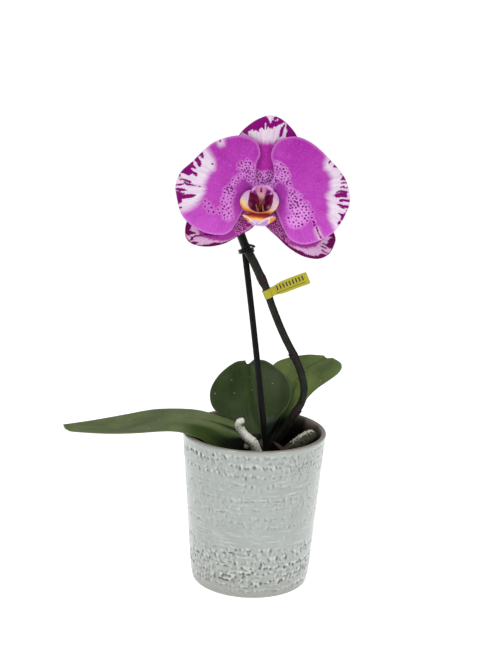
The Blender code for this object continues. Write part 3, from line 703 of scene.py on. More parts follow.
    def build(self, finish: Material) -> Piece:
        """Lays the outside with its relief, then the rim, the inner wall, the floor and the underside."""
        turn = circuit(self.around)
        foot = self.foot_round
        half = self.wall / 2
        rim_height = self.height - half
        heights = np.linspace(foot, rim_height, self.rows)
        press, ridge = self.relief(turn, heights)
        fade = np.clip((heights - foot) / 3.0, 0, 1) * np.clip((rim_height - heights) / 3.0, 0, 1)
        cloud = ripples(heights[:, None] / 30.0, turn[None, :], (0.3, 4.0), self.seed + 9)
        tuck = self.tucked * hump(heights, 7.0)
        sunk = self.raised * (1 - np.clip(ridge, 0, 1)) + self.pressed * press + self.uneven * (1 + cloud)
        sunk = sunk * fade[:, None] + tuck[:, None]

        around = circle(self.around)
        rings: list[np.ndarray] = []
        carried = ("press", "ridge", "rim", "inner", "low")
        values: dict[str, list[np.ndarray]] = {name: [] for name in carried}

        def keep(radius: Any, height: float, **given: Any) -> None:
            """Keeps one ring, at a radius and a height in millimetres, with its values."""
            flat = around * np.broadcast_to(radius, self.around)[:, None]
            rings.append(np.column_stack([flat, np.full(self.around, height)]) * MM)
            for name, rows in values.items():
                rows.append(np.broadcast_to(given.get(name, 0.0), self.around))

        base = self.base_radius - float(tuck[0])
        for share in (0.25, 0.5, 0.75, 1.0):
            keep(share * (base - foot), 0.0, press=0.35)
        for angle in (20, 40, 60, 80):
            lean = math.radians(angle)
            keep(base + self.outer(foot) - self.base_radius - foot + foot * math.sin(lean),
                 foot * (1 - math.cos(lean)), press=0.15)
        for row, height in enumerate(heights):
            keep(self.outer(height) - sunk[row], height, press=press[row] * fade[row],
                 ridge=ridge[row] * fade[row],
                 rim=0.10 * float(hump(rim_height - height, self.rim_line)))
        middle = self.outer(rim_height) - half
        for angle in range(15, 181, 15):
            lean = math.radians(angle)
            keep(middle + half * math.cos(lean), rim_height + half * math.sin(lean),
                 ridge=0.25 * math.cos(lean) ** 2,
                 rim=min(max((angle - 25) / 40, 0.10), 1.0))
        # Inner wall: painted shade that grows to full at its floor
        for share in (0.985, 0.97, 0.95, 0.92, 0.88, 0.84, 0.78, 0.70, 0.6, 0.45, 0.3, 0.15, 0.0):
            height = self.floor + foot + (rim_height - self.floor - foot) * share
            wavy = 0.12 * np.sin(math.tau * 3 * turn + 9 * share)
            keep(self.outer(height) - self.wall + wavy, height, inner=1.0,
                 low=1 - math.exp((share - 1) / 0.034))
        for share in (0.94, 0.6, 0.3):
            keep(share * (self.outer(self.floor) - self.wall), self.floor, inner=1.0, low=1.0)
        draft = Draft()
        given = {name: np.array(rows) for name, rows in values.items()}
        draft.lay(np.array(rings), True, True, (True, True), **given)
        return settle(draft.build("glazed_pot", finish, 80.0), "pot_glaze", "cover_pot")


# Bloom

@dataclass(frozen=True)
class Bloom:
    """Where the bloom stands: a to the right, b up, c towards the viewer, leaned over in its own plane."""

    middle: Triple = (-1.0, -35.0, 364.4)
    lean: float = math.radians(4.2)

    def place(self, a: Any, b: Any, c: Any) -> np.ndarray:
        """Places of the bloom, in millimetres, as points in metres."""
        across = a * math.cos(self.lean) + b * math.sin(self.lean)
        up = b * math.cos(self.lean) - a * math.sin(self.lean)
        x, y, z = self.middle
        return np.stack(np.broadcast_arrays(x + across, y - c, z + up), axis=-1) * MM


BLOOM = Bloom()


@dataclass(frozen=True)
class Mark:
    """One dark flame or dash: its outline in the bloom's plane and how far it swells, in millimetres."""

    corners: Line
    swell: float = 0.0


@dataclass(frozen=True)
class DotBand:
    """A band of dots along a path in the bloom's plane, in millimetres."""

    path: Line
    half_width: float
    spacing: float
    count: int
    radius: Pair
    seed: int
    ground: float = 0.8

    def dots(self) -> np.ndarray:
        """Throws the dots and keeps those that are clear of each other.

        Returns:
            The dots' places and radii, one to a row.
        """
        draw = random.Random(self.seed)
        kept: list[Triple] = []
        for _ in range(60 * self.count):
            if len(kept) == self.count:
                break
            a, b = curve(self.path, draw.random())
            lean = draw.uniform(0, math.tau)
            reach = self.half_width * math.sqrt(draw.random())
            spot = (a + reach * math.cos(lean), b + reach * math.sin(lean))
            if all(math.dist(spot, other[:2]) > self.spacing for other in kept):
                kept.append((*spot, draw.uniform(*self.radius)))
        return np.array(kept)


@dataclass(frozen=True)
class OrchidPetal(Finish):
    """Living petal tissue, full of sap.

    Its cells give a soft satin sheen, and the colour lies in three layers: a pink body with fine veins, white
    where the body colour is missing, and dark flames and dots with pale haloes. Painted light lies over them:
    the body is lighter toward its lower part and outward, a thin painted highlight runs along the margin, and
    the violet near the lip is partly the base's own colour and partly painted shade.
    """

    body: str = "#a92ca2"
    light: str = "#bf50bd"
    vein: str = "#9a2394"
    white: str = "#e7dee5"
    flame: str = "#7f006b"
    dot: str = "#680868"
    halo: str = "#e8a0e8"
    throat: str = "#8f2a92"
    back: str = "#cf8fd0"
    fringe: float = 4.0
    streaks: float = 4.0
    grain: float = 0.04
    soft: float = 3.4

    def material(self) -> Material:
        """Makes the material."""
        made, put = self.start(Roughness=0.5, IOR=1.38, Specular_IOR_Level=0.12)
        fan, reach, flames, dots, pale, tone, side, throat, speckle, margin = (
            put("Attribute", attribute_name=name)
            for name in ("fan", "reach", "flames", "dots", "pale", "tone", "side", "throat", "speckle",
                         "margin")
        )
        place = put("TexCoord")
        # Veins fan out from the claw, about 1.5 to 2.5 mm apart at the rim, and run nearly straight outward
        plan = put("CombineXYZ", {0: fan, 1: reach})
        spread = put("Mapping", {"Vector": plan, "Scale": (95.0, 3.2, 1.0)})
        veins = put("TexNoise", {"Vector": spread, "Scale": 1.0, "Detail": 3.0, "Roughness": 0.6})
        broad = put("Mapping", {"Vector": plan, "Scale": (40.0, 2.0, 1.0)})
        streak = put("TexNoise", {"Vector": broad, "Scale": 1.0, "Detail": 3.0})
        cells = put("TexNoise", {"Vector": place, "Scale": per_mm(1.1), "Detail": 4.0})
        cloud = put("TexNoise", {"Vector": place, "Scale": per_mm(16), "Detail": 4.0})
        wander = put("Math", {0: cells, 1: 0.5}, operation="SUBTRACT")

        # Painted light: lighter toward the lower part and outward, over random clouding of about 16 mm
        mixed = put("Math", {0: cloud, 1: 1.2, 2: tone})
        shade = put("MapRange", {0: mixed, 1: 0.45, 2: 1.5})
        body = put("Mix", {0: shade, 6: self.body, 7: self.light})
        thin = put("MapRange", {0: veins, 1: 0.48, 2: 0.68, 4: 0.5})
        veined = put("Mix", {0: thin, 6: body, 7: self.vein})
        grainy = put("MapRange", {0: cells, 1: 0.52, 2: 0.72, 4: self.grain})
        fleshy = put("Mix", {0: grainy, 6: veined, 7: self.halo})
        # Violet near the lip and column: partly the base's own colour, partly painted shade
        shadow = put("Mix", {0: throat, 6: fleshy, 7: self.throat})

        # Pale ground under the dots, blotchy, and a halo of about 1.5 mm round each of them
        blotchy = put("Math", {0: wander, 1: 2.6, 2: speckle})
        ground = put("MapRange", {0: blotchy, 1: 0.2, 2: 1.6, 4: 0.66})
        grounded = put("Mix", {0: ground, 6: shadow, 7: self.halo})
        loose = put("Math", {0: wander, 1: 1.4, 2: dots})
        halo = put("MapRange", {0: loose, 2: 2.3, 3: 0.28, 4: 0.0}, interpolation_type="SMOOTHSTEP")
        haloed = put("Mix", {0: halo, 6: grounded, 7: self.halo})
        blot = put("Math", {0: wander, 1: 1.7, 2: dots})
        dotted = put("MapRange", {0: blot, 1: 0.32, 2: -0.05, 4: 0.95})
        spotted = put("Mix", {0: dotted, 6: haloed, 7: self.dot})

        # The white zone ends in soft streaks along the veins
        lead = put("Math", {0: streak, 1: 0.5}, operation="SUBTRACT")
        drawn = put("Math", {0: lead, 1: self.streaks, 2: pale})
        ragged = put("Math", {0: wander, 1: 2.5, 2: drawn})
        bare = put("MapRange", {0: ragged, 1: self.soft, 2: -self.soft}, interpolation_type="SMOOTHSTEP")
        blush = put("MapRange", {0: veins, 1: 0.42, 2: 0.7, 3: 0.09, 4: 0.38})
        faint = put("Mix", {0: blush, 6: self.white, 7: self.light})
        washed = put("Mix", {0: bare, 6: spotted, 7: faint})
        # A thin painted highlight along the margin
        edge_highlight = put("MapRange", {0: margin, 2: 2.6, 3: 0.35, 4: 0.0}, interpolation_type="SMOOTHSTEP")
        rimmed = put("Mix", {0: edge_highlight, 6: washed, 7: self.halo})

        # Flames with ragged edges, drawn out along the veins
        tatter = put("Math", {0: veins, 1: 0.5}, operation="SUBTRACT")
        licked = put("Math", {0: tatter, 1: self.fringe, 2: flames})
        frayed = put("Math", {0: wander, 1: 1.8, 2: licked})
        flame = put("MapRange", {0: frayed, 1: 0.25, 2: -0.25})
        burnt = put("Mix", {0: flame, 6: rimmed, 7: self.flame})
        veiled = put("Mix", {0: 0.45, 6: burnt, 7: self.back})
        colour = put("Mix", {0: side, 6: veiled, 7: burnt})
        rough = put("MapRange", {0: cells, 1: 0.3, 2: 0.7, 3: 0.44, 4: 0.60})
        relief = put("Math", {0: veins, 1: 0.45, 2: cells})
        return dress(made, colour, rough, relief, 0.11)


@dataclass
class Tepal:
    """One petal or sepal, fanned out from its claw to its outline. Sizes in millimetres."""

    name: str
    outline: Line
    claw: tuple[Pair, Pair]
    phase: float
    is_petal: bool
    marks: tuple[Mark, ...] = ()
    bare: tuple[Mark, ...] = ()
    blushes: tuple[Mark, ...] = ()
    bands: tuple[DotBand, ...] = ()
    gaps: tuple[Mark, ...] = ()
    border: float = 0.0
    around: int = 280
    rows: int = 104
    thickness: float = 0.9
    throat: float = 0.0
    waist: float = 0.0
    far: float = 9.0

    def depth(self, outward: np.ndarray, share: np.ndarray) -> np.ndarray:
        """How far forward the surface stands: a low dome with a waved margin, or a sepal that falls back."""
        swell = np.sqrt(np.clip(np.sin(math.pi * share), 0, 1))
        if self.is_petal:
            dome = 6.0 * np.sin(0.85 * math.pi * outward) - 3.0 * outward**3
            wave = 1.1 * outward**3 * np.sin(6 * math.pi * share + self.phase)
            frill = 0.45 * outward**6 * np.sin(23 * math.pi * share + 3 * self.phase)
            rib = -0.5 * hump(share - 0.5, 0.03) * np.sin(math.pi * outward) ** 0.7
            return 2.0 + (dome + wave + frill + rib) * swell
        fall = 7.0 * outward**2 * np.sin(math.pi * share)
        wave = 0.7 * outward**3 * np.sin(5 * math.pi * share + self.phase)
        rib = -0.5 * hump(share - 0.5, 0.04) * np.sin(math.pi * outward)
        return wave - fall + rib * swell

    def spread(self, rim: np.ndarray, share: np.ndarray, outward: np.ndarray) -> np.ndarray:
        """Fans the blade out from its claw.

        Args:
            rim: Points along the outline, from one end of the claw to the other.
            share: Places along the outline, as a row of shares.
            outward: Places between claw and outline, as a column of shares.

        Returns:
            The blade's places in the bloom's plane, as rows x columns x 2.
        """
        edge = curve(rim, share)
        first, last = (np.array(end) for end in self.claw)
        foot = first + (last - first) * share[..., None]
        # Each line from claw to rim first leaves along the blade's middle, which gives the blade its waist
        ahead = unit(curve(rim, 0.5) - (first + last) / 2)
        along = unit(edge - foot)
        aside = ahead - along * (along @ ahead)[..., None]
        bow = self.waist * np.linalg.norm(edge - foot, axis=-1, keepdims=True) * aside
        return foot + (edge - foot) * outward[..., None] + bow * (2 * outward * (1 - outward))[..., None]

    def marking(self, spots: np.ndarray, share: np.ndarray, margin: np.ndarray) -> Values:
        """Measures how far each place is from the flames, the bare zones and the dots.

        Args:
            spots: The blade's places in the bloom's plane.
            share: Places along the outline, as a row of shares.
            margin: How far each place is from the outline.

        Returns:
            Those three distances, and how pale the ground under the dots is.
        """
        flat = spots.reshape(-1, 2)
        shape = spots.shape[:2]
        flames = pale = dots = np.full(len(flat), self.far)
        for mark in self.marks:
            flames = np.minimum(flames, polygon_gap(flat, mark.corners) - mark.swell - 0.3)
        flames = flames.reshape(shape)
        if self.border:
            wide = self.border * (1 + 0.5 * ripples(share * 6.0, 0.0, (0.5, 2.5), int(10 * self.phase) + 3))
            flames = np.minimum(flames, margin - np.clip(wide, 0.3, None))
        for gap in self.gaps:
            flames = np.maximum(flames, -polygon_gap(flat, gap.corners).reshape(shape) + gap.swell)
        for zone in (*self.bare, *self.blushes):
            pale = np.minimum(pale, polygon_gap(flat, zone.corners) - zone.swell)
        for a, b, radius in [dot for band in self.bands for dot in band.dots()]:
            dots = np.minimum(dots, np.linalg.norm(flat - (a, b), axis=1) - radius)
        speckle = np.zeros(shape)
        for band in self.bands:
            away = nearest(flat, curve(band.path, sweep(24))).reshape(shape)
            speckle = np.maximum(speckle, np.clip(1.55 - away / band.half_width, 0, 1) * band.ground)
        pale, dots = pale.reshape(shape), dots.reshape(shape)
        return {"flames": flames, "pale": pale, "dots": dots, "speckle": speckle}

    def build(self, finish: Material, slot: str) -> Piece:
        """Lays the blade with its marks.

        Args:
            finish: The petal material.
            slot: The piece's slot, which is not used.

        Returns:
            The piece.
        """
        rim = evenly((self.claw[0], *self.outline, self.claw[1]), 44)
        share = sweep(self.around)[None, :]
        outward = sweep(self.rows)[:, None]
        spots = self.spread(rim, share, outward)
        grid = BLOOM.place(spots[..., 0], spots[..., 1], self.depth(outward, share))
        free = curve(rim, np.linspace(0.02, 0.98, 260))
        margin = nearest(spots.reshape(-1, 2), free).reshape(spots.shape[:2])
        # Painted light: lighter toward the lower part and outward
        tone = np.clip(0.42 - spots[..., 1] / 95.0, 0, 1) * (0.35 + 0.65 * outward)
        reach = np.linalg.norm(spots - np.array((0.0, -6.0)), axis=-1)
        # Painted shade near the lip and column, over the violet of the petal's base
        throat = self.throat * np.exp(-((reach / 24.0) ** 4)) * rising(reach, 6.0, 13.0)
        thin = (0.32 + 0.68 * np.clip(margin / 5.0, 0, 1) ** 0.6) * self.thickness * MM
        draft = Draft()
        draft.shell(grid, thin, (0, -1, 0), fan=share, reach=outward, tone=tone, throat=throat, margin=margin,
                    **self.marking(spots, share, margin))
        return settle(draft.build(self.name, finish), slot, self.name)


PETAL_LEFT = Tepal(
    "petal_left",
    ((-4.5, 6.5), (-6.3, 11), (-7.3, 17), (-6.9, 24), (-5, 31), (-9.5, 40.5), (-22, 44), (-33, 41.8),
     (-42, 37.6), (-49.6, 31.8), (-60.4, 18.8), (-69.3, 8.9), (-72.7, -1.2), (-72.3, -8), (-69.4, -18.5),
     (-66.3, -26), (-60.5, -32.6), (-50, -38.4), (-38.5, -41.2), (-25, -39), (-18.5, -28), (-11, -11)),
    ((-3.7, 2.4), (-3.7, -2.4)), 0.3, True,
    marks=(
        Mark(((-56.5, 25.5), (-52.8, 28.2), (-51.5, 22.2), (-52.9, 22.4), (-54.3, 23.7))),
        Mark(((-60.5, 21), (-56.9, 24.6), (-55.6, 21.8), (-53.8, 19.0), (-52.6, 15.8), (-54.3, 15.3),
              (-56.6, 17.2), (-58.0, 19.1))),
        Mark(((-71.5, 8.5), (-66, 14.6), (-61, 19.5), (-59.5, 15.7), (-57.1, 12.9), (-58.3, 12.5),
              (-60.1, 13.8), (-61.0, 12.2), (-59.6, 10.5), (-56.8, 9.6), (-55.1, 7.4), (-56.6, 7.3),
              (-59.1, 8.5), (-61.8, 7.9), (-63.1, 6.2), (-65.4, 7.8))),
        Mark(((-70.4, 6.5), (-69.7, 4.9)), 0.25),
        Mark(((-71.2, 3.9), (-68.9, 2.1)), 0.35),
        Mark(((-68.2, 2.9), (-65.2, 2.9), (-60.5, 1.2)), 0.4),
        Mark(((-65.5, 0.2), (-62.5, -0.1), (-58.9, -0.2), (-54.6, -0.9), (-58.7, -1.6), (-62.3, -1.6),
              (-64.2, -1.2)), 0.15),
        Mark(((-53.6, -1.4), (-51.2, -1.1)), 0.45),
        Mark(((-73.5, -3.4), (-69.5, -2.7), (-65.5, -0.4)), 0.35),
        Mark(((-74, -6.9), (-72.4, -5.9), (-68.0, -5.4), (-63.2, -5.7), (-68, -6.9)), 0.2),
        Mark(((-74, -8.5), (-64.7, -8.2), (-67.6, -9.8), (-62.8, -9.6), (-59.3, -8.6), (-55.6, -9.1),
              (-57.2, -10.8), (-61.3, -12.1), (-66.0, -13.9), (-66.4, -16.3), (-69.2, -18.4),
              (-72.5, -17))),
        Mark(((-67.9, -22.3), (-65.9, -21.2)), 0.5),
        Mark(((-39.6, 39.2), (-38.9, 37.2)), 0.4),
        Mark(((-43.7, 19.1), (-43.4, 18.8)), 0.6),
    ),
    bare=(Mark(((-49.6, 34), (-49.2, 30.4), (-45.8, 26.5), (-42.0, 21.5), (-41.4, 18.6), (-42.2, 14.3),
                (-45.9, 9.7), (-47.9, 5.2), (-48.6, 0.3), (-48.1, -4.5), (-49.0, -8.3), (-50.9, -13.4),
                (-54.1, -17.4), (-59.2, -21.6), (-64.3, -24.6), (-76, -27), (-82, 0), (-73, 20),
                (-57, 37))),),
    blushes=(Mark(((-39.8, 40.5), (-38.6, 36.4)), 2.8),),
    bands=(
        DotBand(((-18, 19), (-13.5, 20), (-9.8, 15.5), (-9.5, 11.5)), 3.5, 2.1, 36, (0.4, 0.8), 31, 1.0),
        DotBand(((-14, 14), (-20.5, 10.5), (-24.8, 4), (-27.5, -1.5)), 2.5, 2.1, 32, (0.4, 0.8), 32, 0.9),
        DotBand(((-28, -3), (-28.5, -10), (-27.5, -17), (-26.3, -23)), 4.7, 2.4, 44, (0.5, 0.9), 33, 0.9),
        DotBand(((-32, -18), (-40, -20), (-46, -13.5)), 3.2, 3.4, 10, (0.5, 0.9), 34, 0.35),
        DotBand(((-22, 18), (-17, 23.8), (-11, 23)), 1.6, 3.0, 6, (0.5, 0.8), 35, 0.4),
        DotBand(((-11.0, 8.9), (-8.0, 7.1), (-5.8, 4.0)), 2.6, 2.0, 8, (0.35, 0.7), 36, 1.3),
    ),
    throat=0.6, waist=0.30,
)
PETAL_RIGHT = Tepal(
    "petal_right",
    ((5.4, 6.6), (8.1, 10), (8.4, 16.2), (6.6, 24.2), (4.2, 32.1), (9, 43), (22, 48.2), (37, 44.5),
     (54, 32.0), (68.4, 17.5), (74.4, 0), (71.5, -14), (66.5, -24.5), (60, -32), (42, -41.5), (28, -38.5),
     (20, -27.5), (11, -11)),
    ((3.7, 2.4), (3.7, -2.4)), 1.9, True,
    marks=(
        Mark(((53.1, 29.4), (54.3, 31.9)), 0.6),
        Mark(((57.1, 26.2), (58.4, 28.5), (60.1, 26.3), (58.9, 26.4)), 0.1),
        Mark(((64.4, 20.7), (66.1, 19.4)), 0.3),
        Mark(((65.0, 16.5), (66.2, 18.8), (68.4, 18.4), (68.9, 16.0), (66.5, 16.4)), 0.1),
        Mark(((65.0, 14.3), (69.6, 14.5)), 0.45),
        Mark(((64.9, 9.8), (67.1, 11.3)), 0.35), Mark(((67.1, 11.3), (68.6, 9.3)), 0.35),
        Mark(((68.6, 9.3), (71, 10.1)), 0.35),
        Mark(((62.6, 5.9), (65.2, 7.4)), 0.3), Mark(((65.2, 7.2), (70.8, 7.1)), 0.45),
        Mark(((59.7, 2.9), (61.9, 4.6), (65.4, 5.3), (70.6, 5.8), (71.6, 2.0), (68.2, 2.3), (65.8, 2.3),
              (62.3, 1.6)), 0.15),
        Mark(((66.2, -0.5), (75, -0.4)), 0.8),
        Mark(((63.6, -4.0), (66.6, -3.8), (69.1, -4.6), (75, -4.4), (74.5, -6.6), (69.3, -6.5),
              (66.8, -5.5)), 0.15),
        Mark(((73, -9.0), (70.1, -12.5), (66.6, -11.6), (69.0, -13.8), (68.7, -16.3), (70.1, -17.6),
              (71.9, -14.2)), 0.1),
        Mark(((67.1, -20.7), (68.3, -18.0)), 0.7),
        Mark(((49.1, -25.5), (50.9, -29.9)), 0.4), Mark(((50.9, -29.9), (54.5, -34.5)), 0.4),
        Mark(((46.1, -20.6), (46.2, -20.8)), 0.6), Mark(((46.5, -23.6), (46.6, -23.8)), 0.6),
    ),
    bare=(Mark(((51.5, 37), (49.1, 29.6), (50.3, 24.9), (53.8, 21.1), (56.6, 17.8), (56.5, 13.5),
                (56.7, 6.9), (54.2, 3.0), (56.0, -1.7), (57.3, -7.7), (57.4, -13.8), (60.6, -19.6),
                (63.6, -24.2), (68, -30), (77, -27), (84, 0), (77, 20), (60, 40))),),
    blushes=(Mark(((49.4, -26.5), (51.5, -31.5), (54.2, -35.5)), 1.2),
             Mark(((46.2, -21), (46.6, -23.6)), -0.8)),
    bands=(
        DotBand(((11, 23), (15, 20), (18.5, 14), (12, 13)), 3.7, 2.2, 40, (0.4, 0.85), 41, 1.1),
        DotBand(((20, 10), (24, 4.5), (29, 1.5), (32, -1)), 2.4, 2.5, 20, (0.4, 0.8), 42, 0.8),
        DotBand(((25, 1), (25.5, -4), (28, -8)), 3.0, 2.3, 18, (0.45, 0.85), 43, 0.9),
        DotBand(((30, -9), (35, -15), (31, -21)), 6.8, 2.6, 56, (0.5, 1.0), 44, 1.5),
        DotBand(((39.3, -4), (41.5, -9), (43, -14), (46, -20.3)), 1.8, 4.2, 5, (0.5, 0.8), 45, 0.4),
        DotBand(((9.6, 8.8), (7.4, 5.8), (5.0, 3.4)), 2.4, 2.0, 6, (0.35, 0.7), 46, 1.2),
    ),
    throat=0.6, waist=0.34,
)
SEPAL_DORSAL = Tepal(
    "sepal_dorsal",
    ((-9.5, 10), (-15, 16), (-22, 26), (-26, 37), (-22.5, 46.5), (-14, 55.5), (-6.7, 60.3), (0.4, 62.8),
     (9.1, 60.9), (18.0, 54.8), (24.4, 47.5), (28, 38), (23.5, 26), (15.5, 16), (10, 10)),
    ((-2.5, 3.45), (2.5, 3.45)), 0.4, False,
    marks=(
        Mark(((-23.1, 44.5), (-21.9, 46.4), (-20.0, 45.7), (-16.5, 44.7), (-17.2, 47.9), (-15.3, 48.3),
              (-13.4, 50.1), (-12.2, 48.8), (-11.6, 50.0), (-8.4, 48.5), (-8.1, 50.7), (-6.2, 52.0),
              (-4.0, 51.3), (-4.3, 56.4), (-2.9, 56.5), (-1.8, 51.2), (-1.4, 53.9), (1.3, 51.7),
              (2.1, 54.3), (3.1, 51.9), (3.9, 54.5), (5.7, 53.8), (7.2, 55.9), (9.0, 56.4), (10.9, 57.7),
              (12.6, 58.9), (14.2, 57.0), (14.3, 53.9), (16.0, 51.6), (15.0, 48.6), (15.5, 46.0), (17, 40),
              (40, 40), (40, 72), (-40, 72), (-40, 40), (-26, 40))),
        Mark(((12.5, 56.4), (9.7, 51.9), (9.1, 45.5), (11.2, 47.2), (12.0, 51.8), (12.9, 55.8)), 0.1),
    ),
    bare=(Mark(((-26, 43.5), (-20.3, 44), (-10.9, 42.6), (-7.1, 40.6), (-2.8, 40.4), (5.2, 41.2),
                (8.6, 43), (16, 42), (40, 44), (40, 70), (-40, 70))),),
    bands=(DotBand(((-5.6, 11.6), (-1.4, 11.0), (4.2, 11.8)), 4.6, 1.75, 40, (0.45, 0.75), 51, 1.5),
           DotBand(((-2.4, 7.2), (2.6, 7.4)), 3.2, 2.2, 5, (0.4, 0.6), 52, 1.7)),
    gaps=(Mark(((-3.1, 64.5), (4.9, 64.5), (4.7, 62.3), (2.1, 60.6), (4.0, 59.0), (2.6, 59.2), (1.2, 58.7),
                (0.8, 56.6), (-0.3, 58.6), (-2.6, 61.1)), 0.1),
          Mark(((4.5, 58.6), (6.0, 60.3), (7.1, 60.1), (5.9, 58.7)), 0.1)),
    around=240, rows=84, throat=0.0,
)
SEPAL_LEFT = Tepal(
    "sepal_left",
    ((-0.8, -12), (-0.9, -24), (-5, -33.5), (-15, -41), (-27, -49.5), (-41, -53.8), (-53.5, -53.2),
     (-59.4, -49.4), (-61.4, -44), (-61.0, -35), (-56, -25), (-46, -17), (-26, -7), (-10, -3)),
    ((-0.5, -3.6), (-3.6, -1.6)), 1.1, False,
    marks=(
        Mark(((-66, -30), (-61.0, -34.5), (-57.1, -36.6), (-56.8, -39.6), (-58.5, -41.1), (-54.4, -42.5),
              (-51.3, -43.1), (-56.1, -44.5), (-58.1, -46.0), (-60.7, -44.4), (-66, -44))),
        Mark(((-55.2, -46.9), (-52.3, -45.7)), 0.3), Mark(((-52.3, -45.7), (-46.3, -44.4)), 0.4),
        Mark(((-46.3, -44.4), (-44.0, -42.9)), 0.4), Mark(((-44.0, -42.9), (-34.2, -42.1)), 0.45),
        Mark(((-55.9, -46.4), (-53.8, -48.6), (-55.8, -50.1)), 0.1),
        Mark(((-56.9, -51.8), (-54.2, -50.8), (-48.7, -51.2), (-51.5, -53.0), (-49.6, -53.8),
              (-40.6, -51.8), (-35.9, -49.5), (-29.2, -49.0), (-20, -45.2), (-14, -40), (-14, -48),
              (-29, -58), (-46, -60), (-58, -56))),
    ),
    bare=(Mark(((-64, -33), (-53, -36), (-50, -41), (-49.2, -44.6), (-44.0, -46.4), (-38.0, -47.2),
                (-31.0, -47.6), (-25.0, -46.6), (-19.0, -43.6), (-14, -40), (-18, -45), (-24, -49),
                (-30, -53), (-42, -58), (-62, -56), (-68, -45))),),
    bands=(DotBand(((-20, -24), (-13.2, -30), (-7, -36.2)), 8.0, 1.6, 210, (0.45, 0.85), 61, 0.5),
           DotBand(((-9, -14), (-10, -26)), 6.5, 1.6, 100, (0.45, 0.85), 62, 0.5)),
    border=0.7, around=240, rows=84, throat=0.7,
)
SEPAL_RIGHT = Tepal(
    "sepal_right",
    ((0.8, -12), (1.2, -24), (7.5, -31.5), (17, -38.6), (28, -47.0), (41, -53.1), (54, -54.3),
     (62.6, -49.6), (66.2, -42), (66.8, -34), (60, -24), (50, -16), (27, -7), (10, -3)),
    ((0.5, -3.6), (3.6, -1.6)), 2.0, False,
    marks=(
        Mark(((70, -27), (64.8, -29.5), (60.8, -33.6), (64.2, -34.4), (60.1, -38.1), (61.4, -39.1),
              (59.2, -41.3), (60.0, -42.4), (62.7, -44.3), (65.9, -42.7), (72, -40))),
        Mark(((56.6, -40.3), (59.9, -41.5)), 0.35), Mark(((55.7, -42.6), (60.2, -44.6)), 0.35),
        Mark(((56.7, -46.2), (60.4, -48.6)), 0.35),
        Mark(((62.1, -49.7), (55.9, -49.4), (54.3, -51.2), (49.4, -52.0), (43.2, -51.1), (37.8, -48.3),
              (35.1, -48.0), (28.7, -45.2), (26.0, -43.1), (18.0, -38.3), (12, -34.5), (10, -38),
              (24, -50), (40, -58), (60, -56))),
    ),
    bare=(Mark(((26, -43.4), (34, -45.2), (44, -46.0), (51, -43.2), (55.5, -38), (58, -30), (74, -26),
                (74, -60), (44, -60), (30, -52))),),
    bands=(DotBand(((10, -22), (14.9, -29), (20.2, -36.5)), 8.0, 1.6, 210, (0.45, 0.85), 71, 0.5),
           DotBand(((9, -14), (10, -26)), 6.5, 1.6, 100, (0.45, 0.85), 72, 0.5)),
    border=0.6, around=240, rows=84, throat=0.7,
)


@dataclass(frozen=True)
class LipFlesh(Finish):
    """The lip's thick, waxy tissue.

    It is smooth with a wet-looking gloss, and its colours run into each other: lilac-white above, cream and
    orange below, a red floor and a dark purple inside.
    """

    violet: str = "#b083c4"
    lilac: str = "#d0a4c8"
    cream: str = "#e2cc9c"
    yellow: str = "#e0a42e"
    orange: str = "#d8790c"
    rust: str = "#a0330e"
    red: str = "#80101c"
    purple: str = "#9a0058"
    stripe: str = "#aa3a78"
    lip: str = "#d68f78"
    olive: str = "#8f5f42"
    core: str = "#560c04"
    fold: str = "#eed6e4"

    def material(self) -> Material:
        """Makes the material."""
        made, put = self.start(Roughness=0.38, IOR=1.42, Specular_IOR_Level=0.3, Coat_Weight=0.05,
                               Coat_Roughness=0.2)
        warm, dark, fan, edge, pale, core = (
            put("Attribute", attribute_name=name)
            for name in ("warm", "dark", "fan", "edge", "pale", "core")
        )
        place = put("TexCoord")
        grain = put("TexNoise", {"Vector": place, "Scale": per_mm(1.6), "Detail": 3.0})
        wander = put("Math", {0: grain, 1: 0.5}, operation="SUBTRACT")
        warmth = put("Math", {0: wander, 1: 0.25, 2: warm})
        hues = ((0.0, self.violet), (1.0, self.red), (0.15, self.lilac), (0.34, self.cream),
                (0.49, self.yellow), (0.65, self.orange), (0.82, self.rust))
        outside = put("ValToRGB", {0: warmth}, ramp=hues)
        # Purple stripes about 1 mm apart run into the cup
        lines = put("Math", {0: fan, 1: 190.0}, operation="MULTIPLY")
        wave = put("Math", {0: lines}, operation="SINE")
        band = put("MapRange", {0: wave, 1: 0.1, 4: 0.45})
        inside = put("Mix", {0: band, 6: self.purple, 7: self.stripe})
        shade = put("MapRange", {0: dark, 1: 0.25, 2: 0.75})
        cupped = put("Mix", {0: shade, 6: outside, 7: inside})
        edged = put("Mix", {0: edge, 6: cupped, 7: self.lip})
        folded = put("Mix", {0: pale, 6: edged, 7: self.fold})
        cored = put("Math", {0: wander, 1: 0.5, 2: core})
        callus = put("ValToRGB", {0: cored}, ramp=((0.3, self.olive), (0.8, self.core), (0.5, self.rust)))
        held = put("Math", {0: core, 1: 0.01}, operation="GREATER_THAN")
        colour = put("Mix", {0: held, 6: folded, 7: callus})
        rough = put("MapRange", {0: grain, 1: 0.3, 2: 0.7, 3: 0.32, 4: 0.46})
        return dress(made, colour, rough, grain, 0.08)


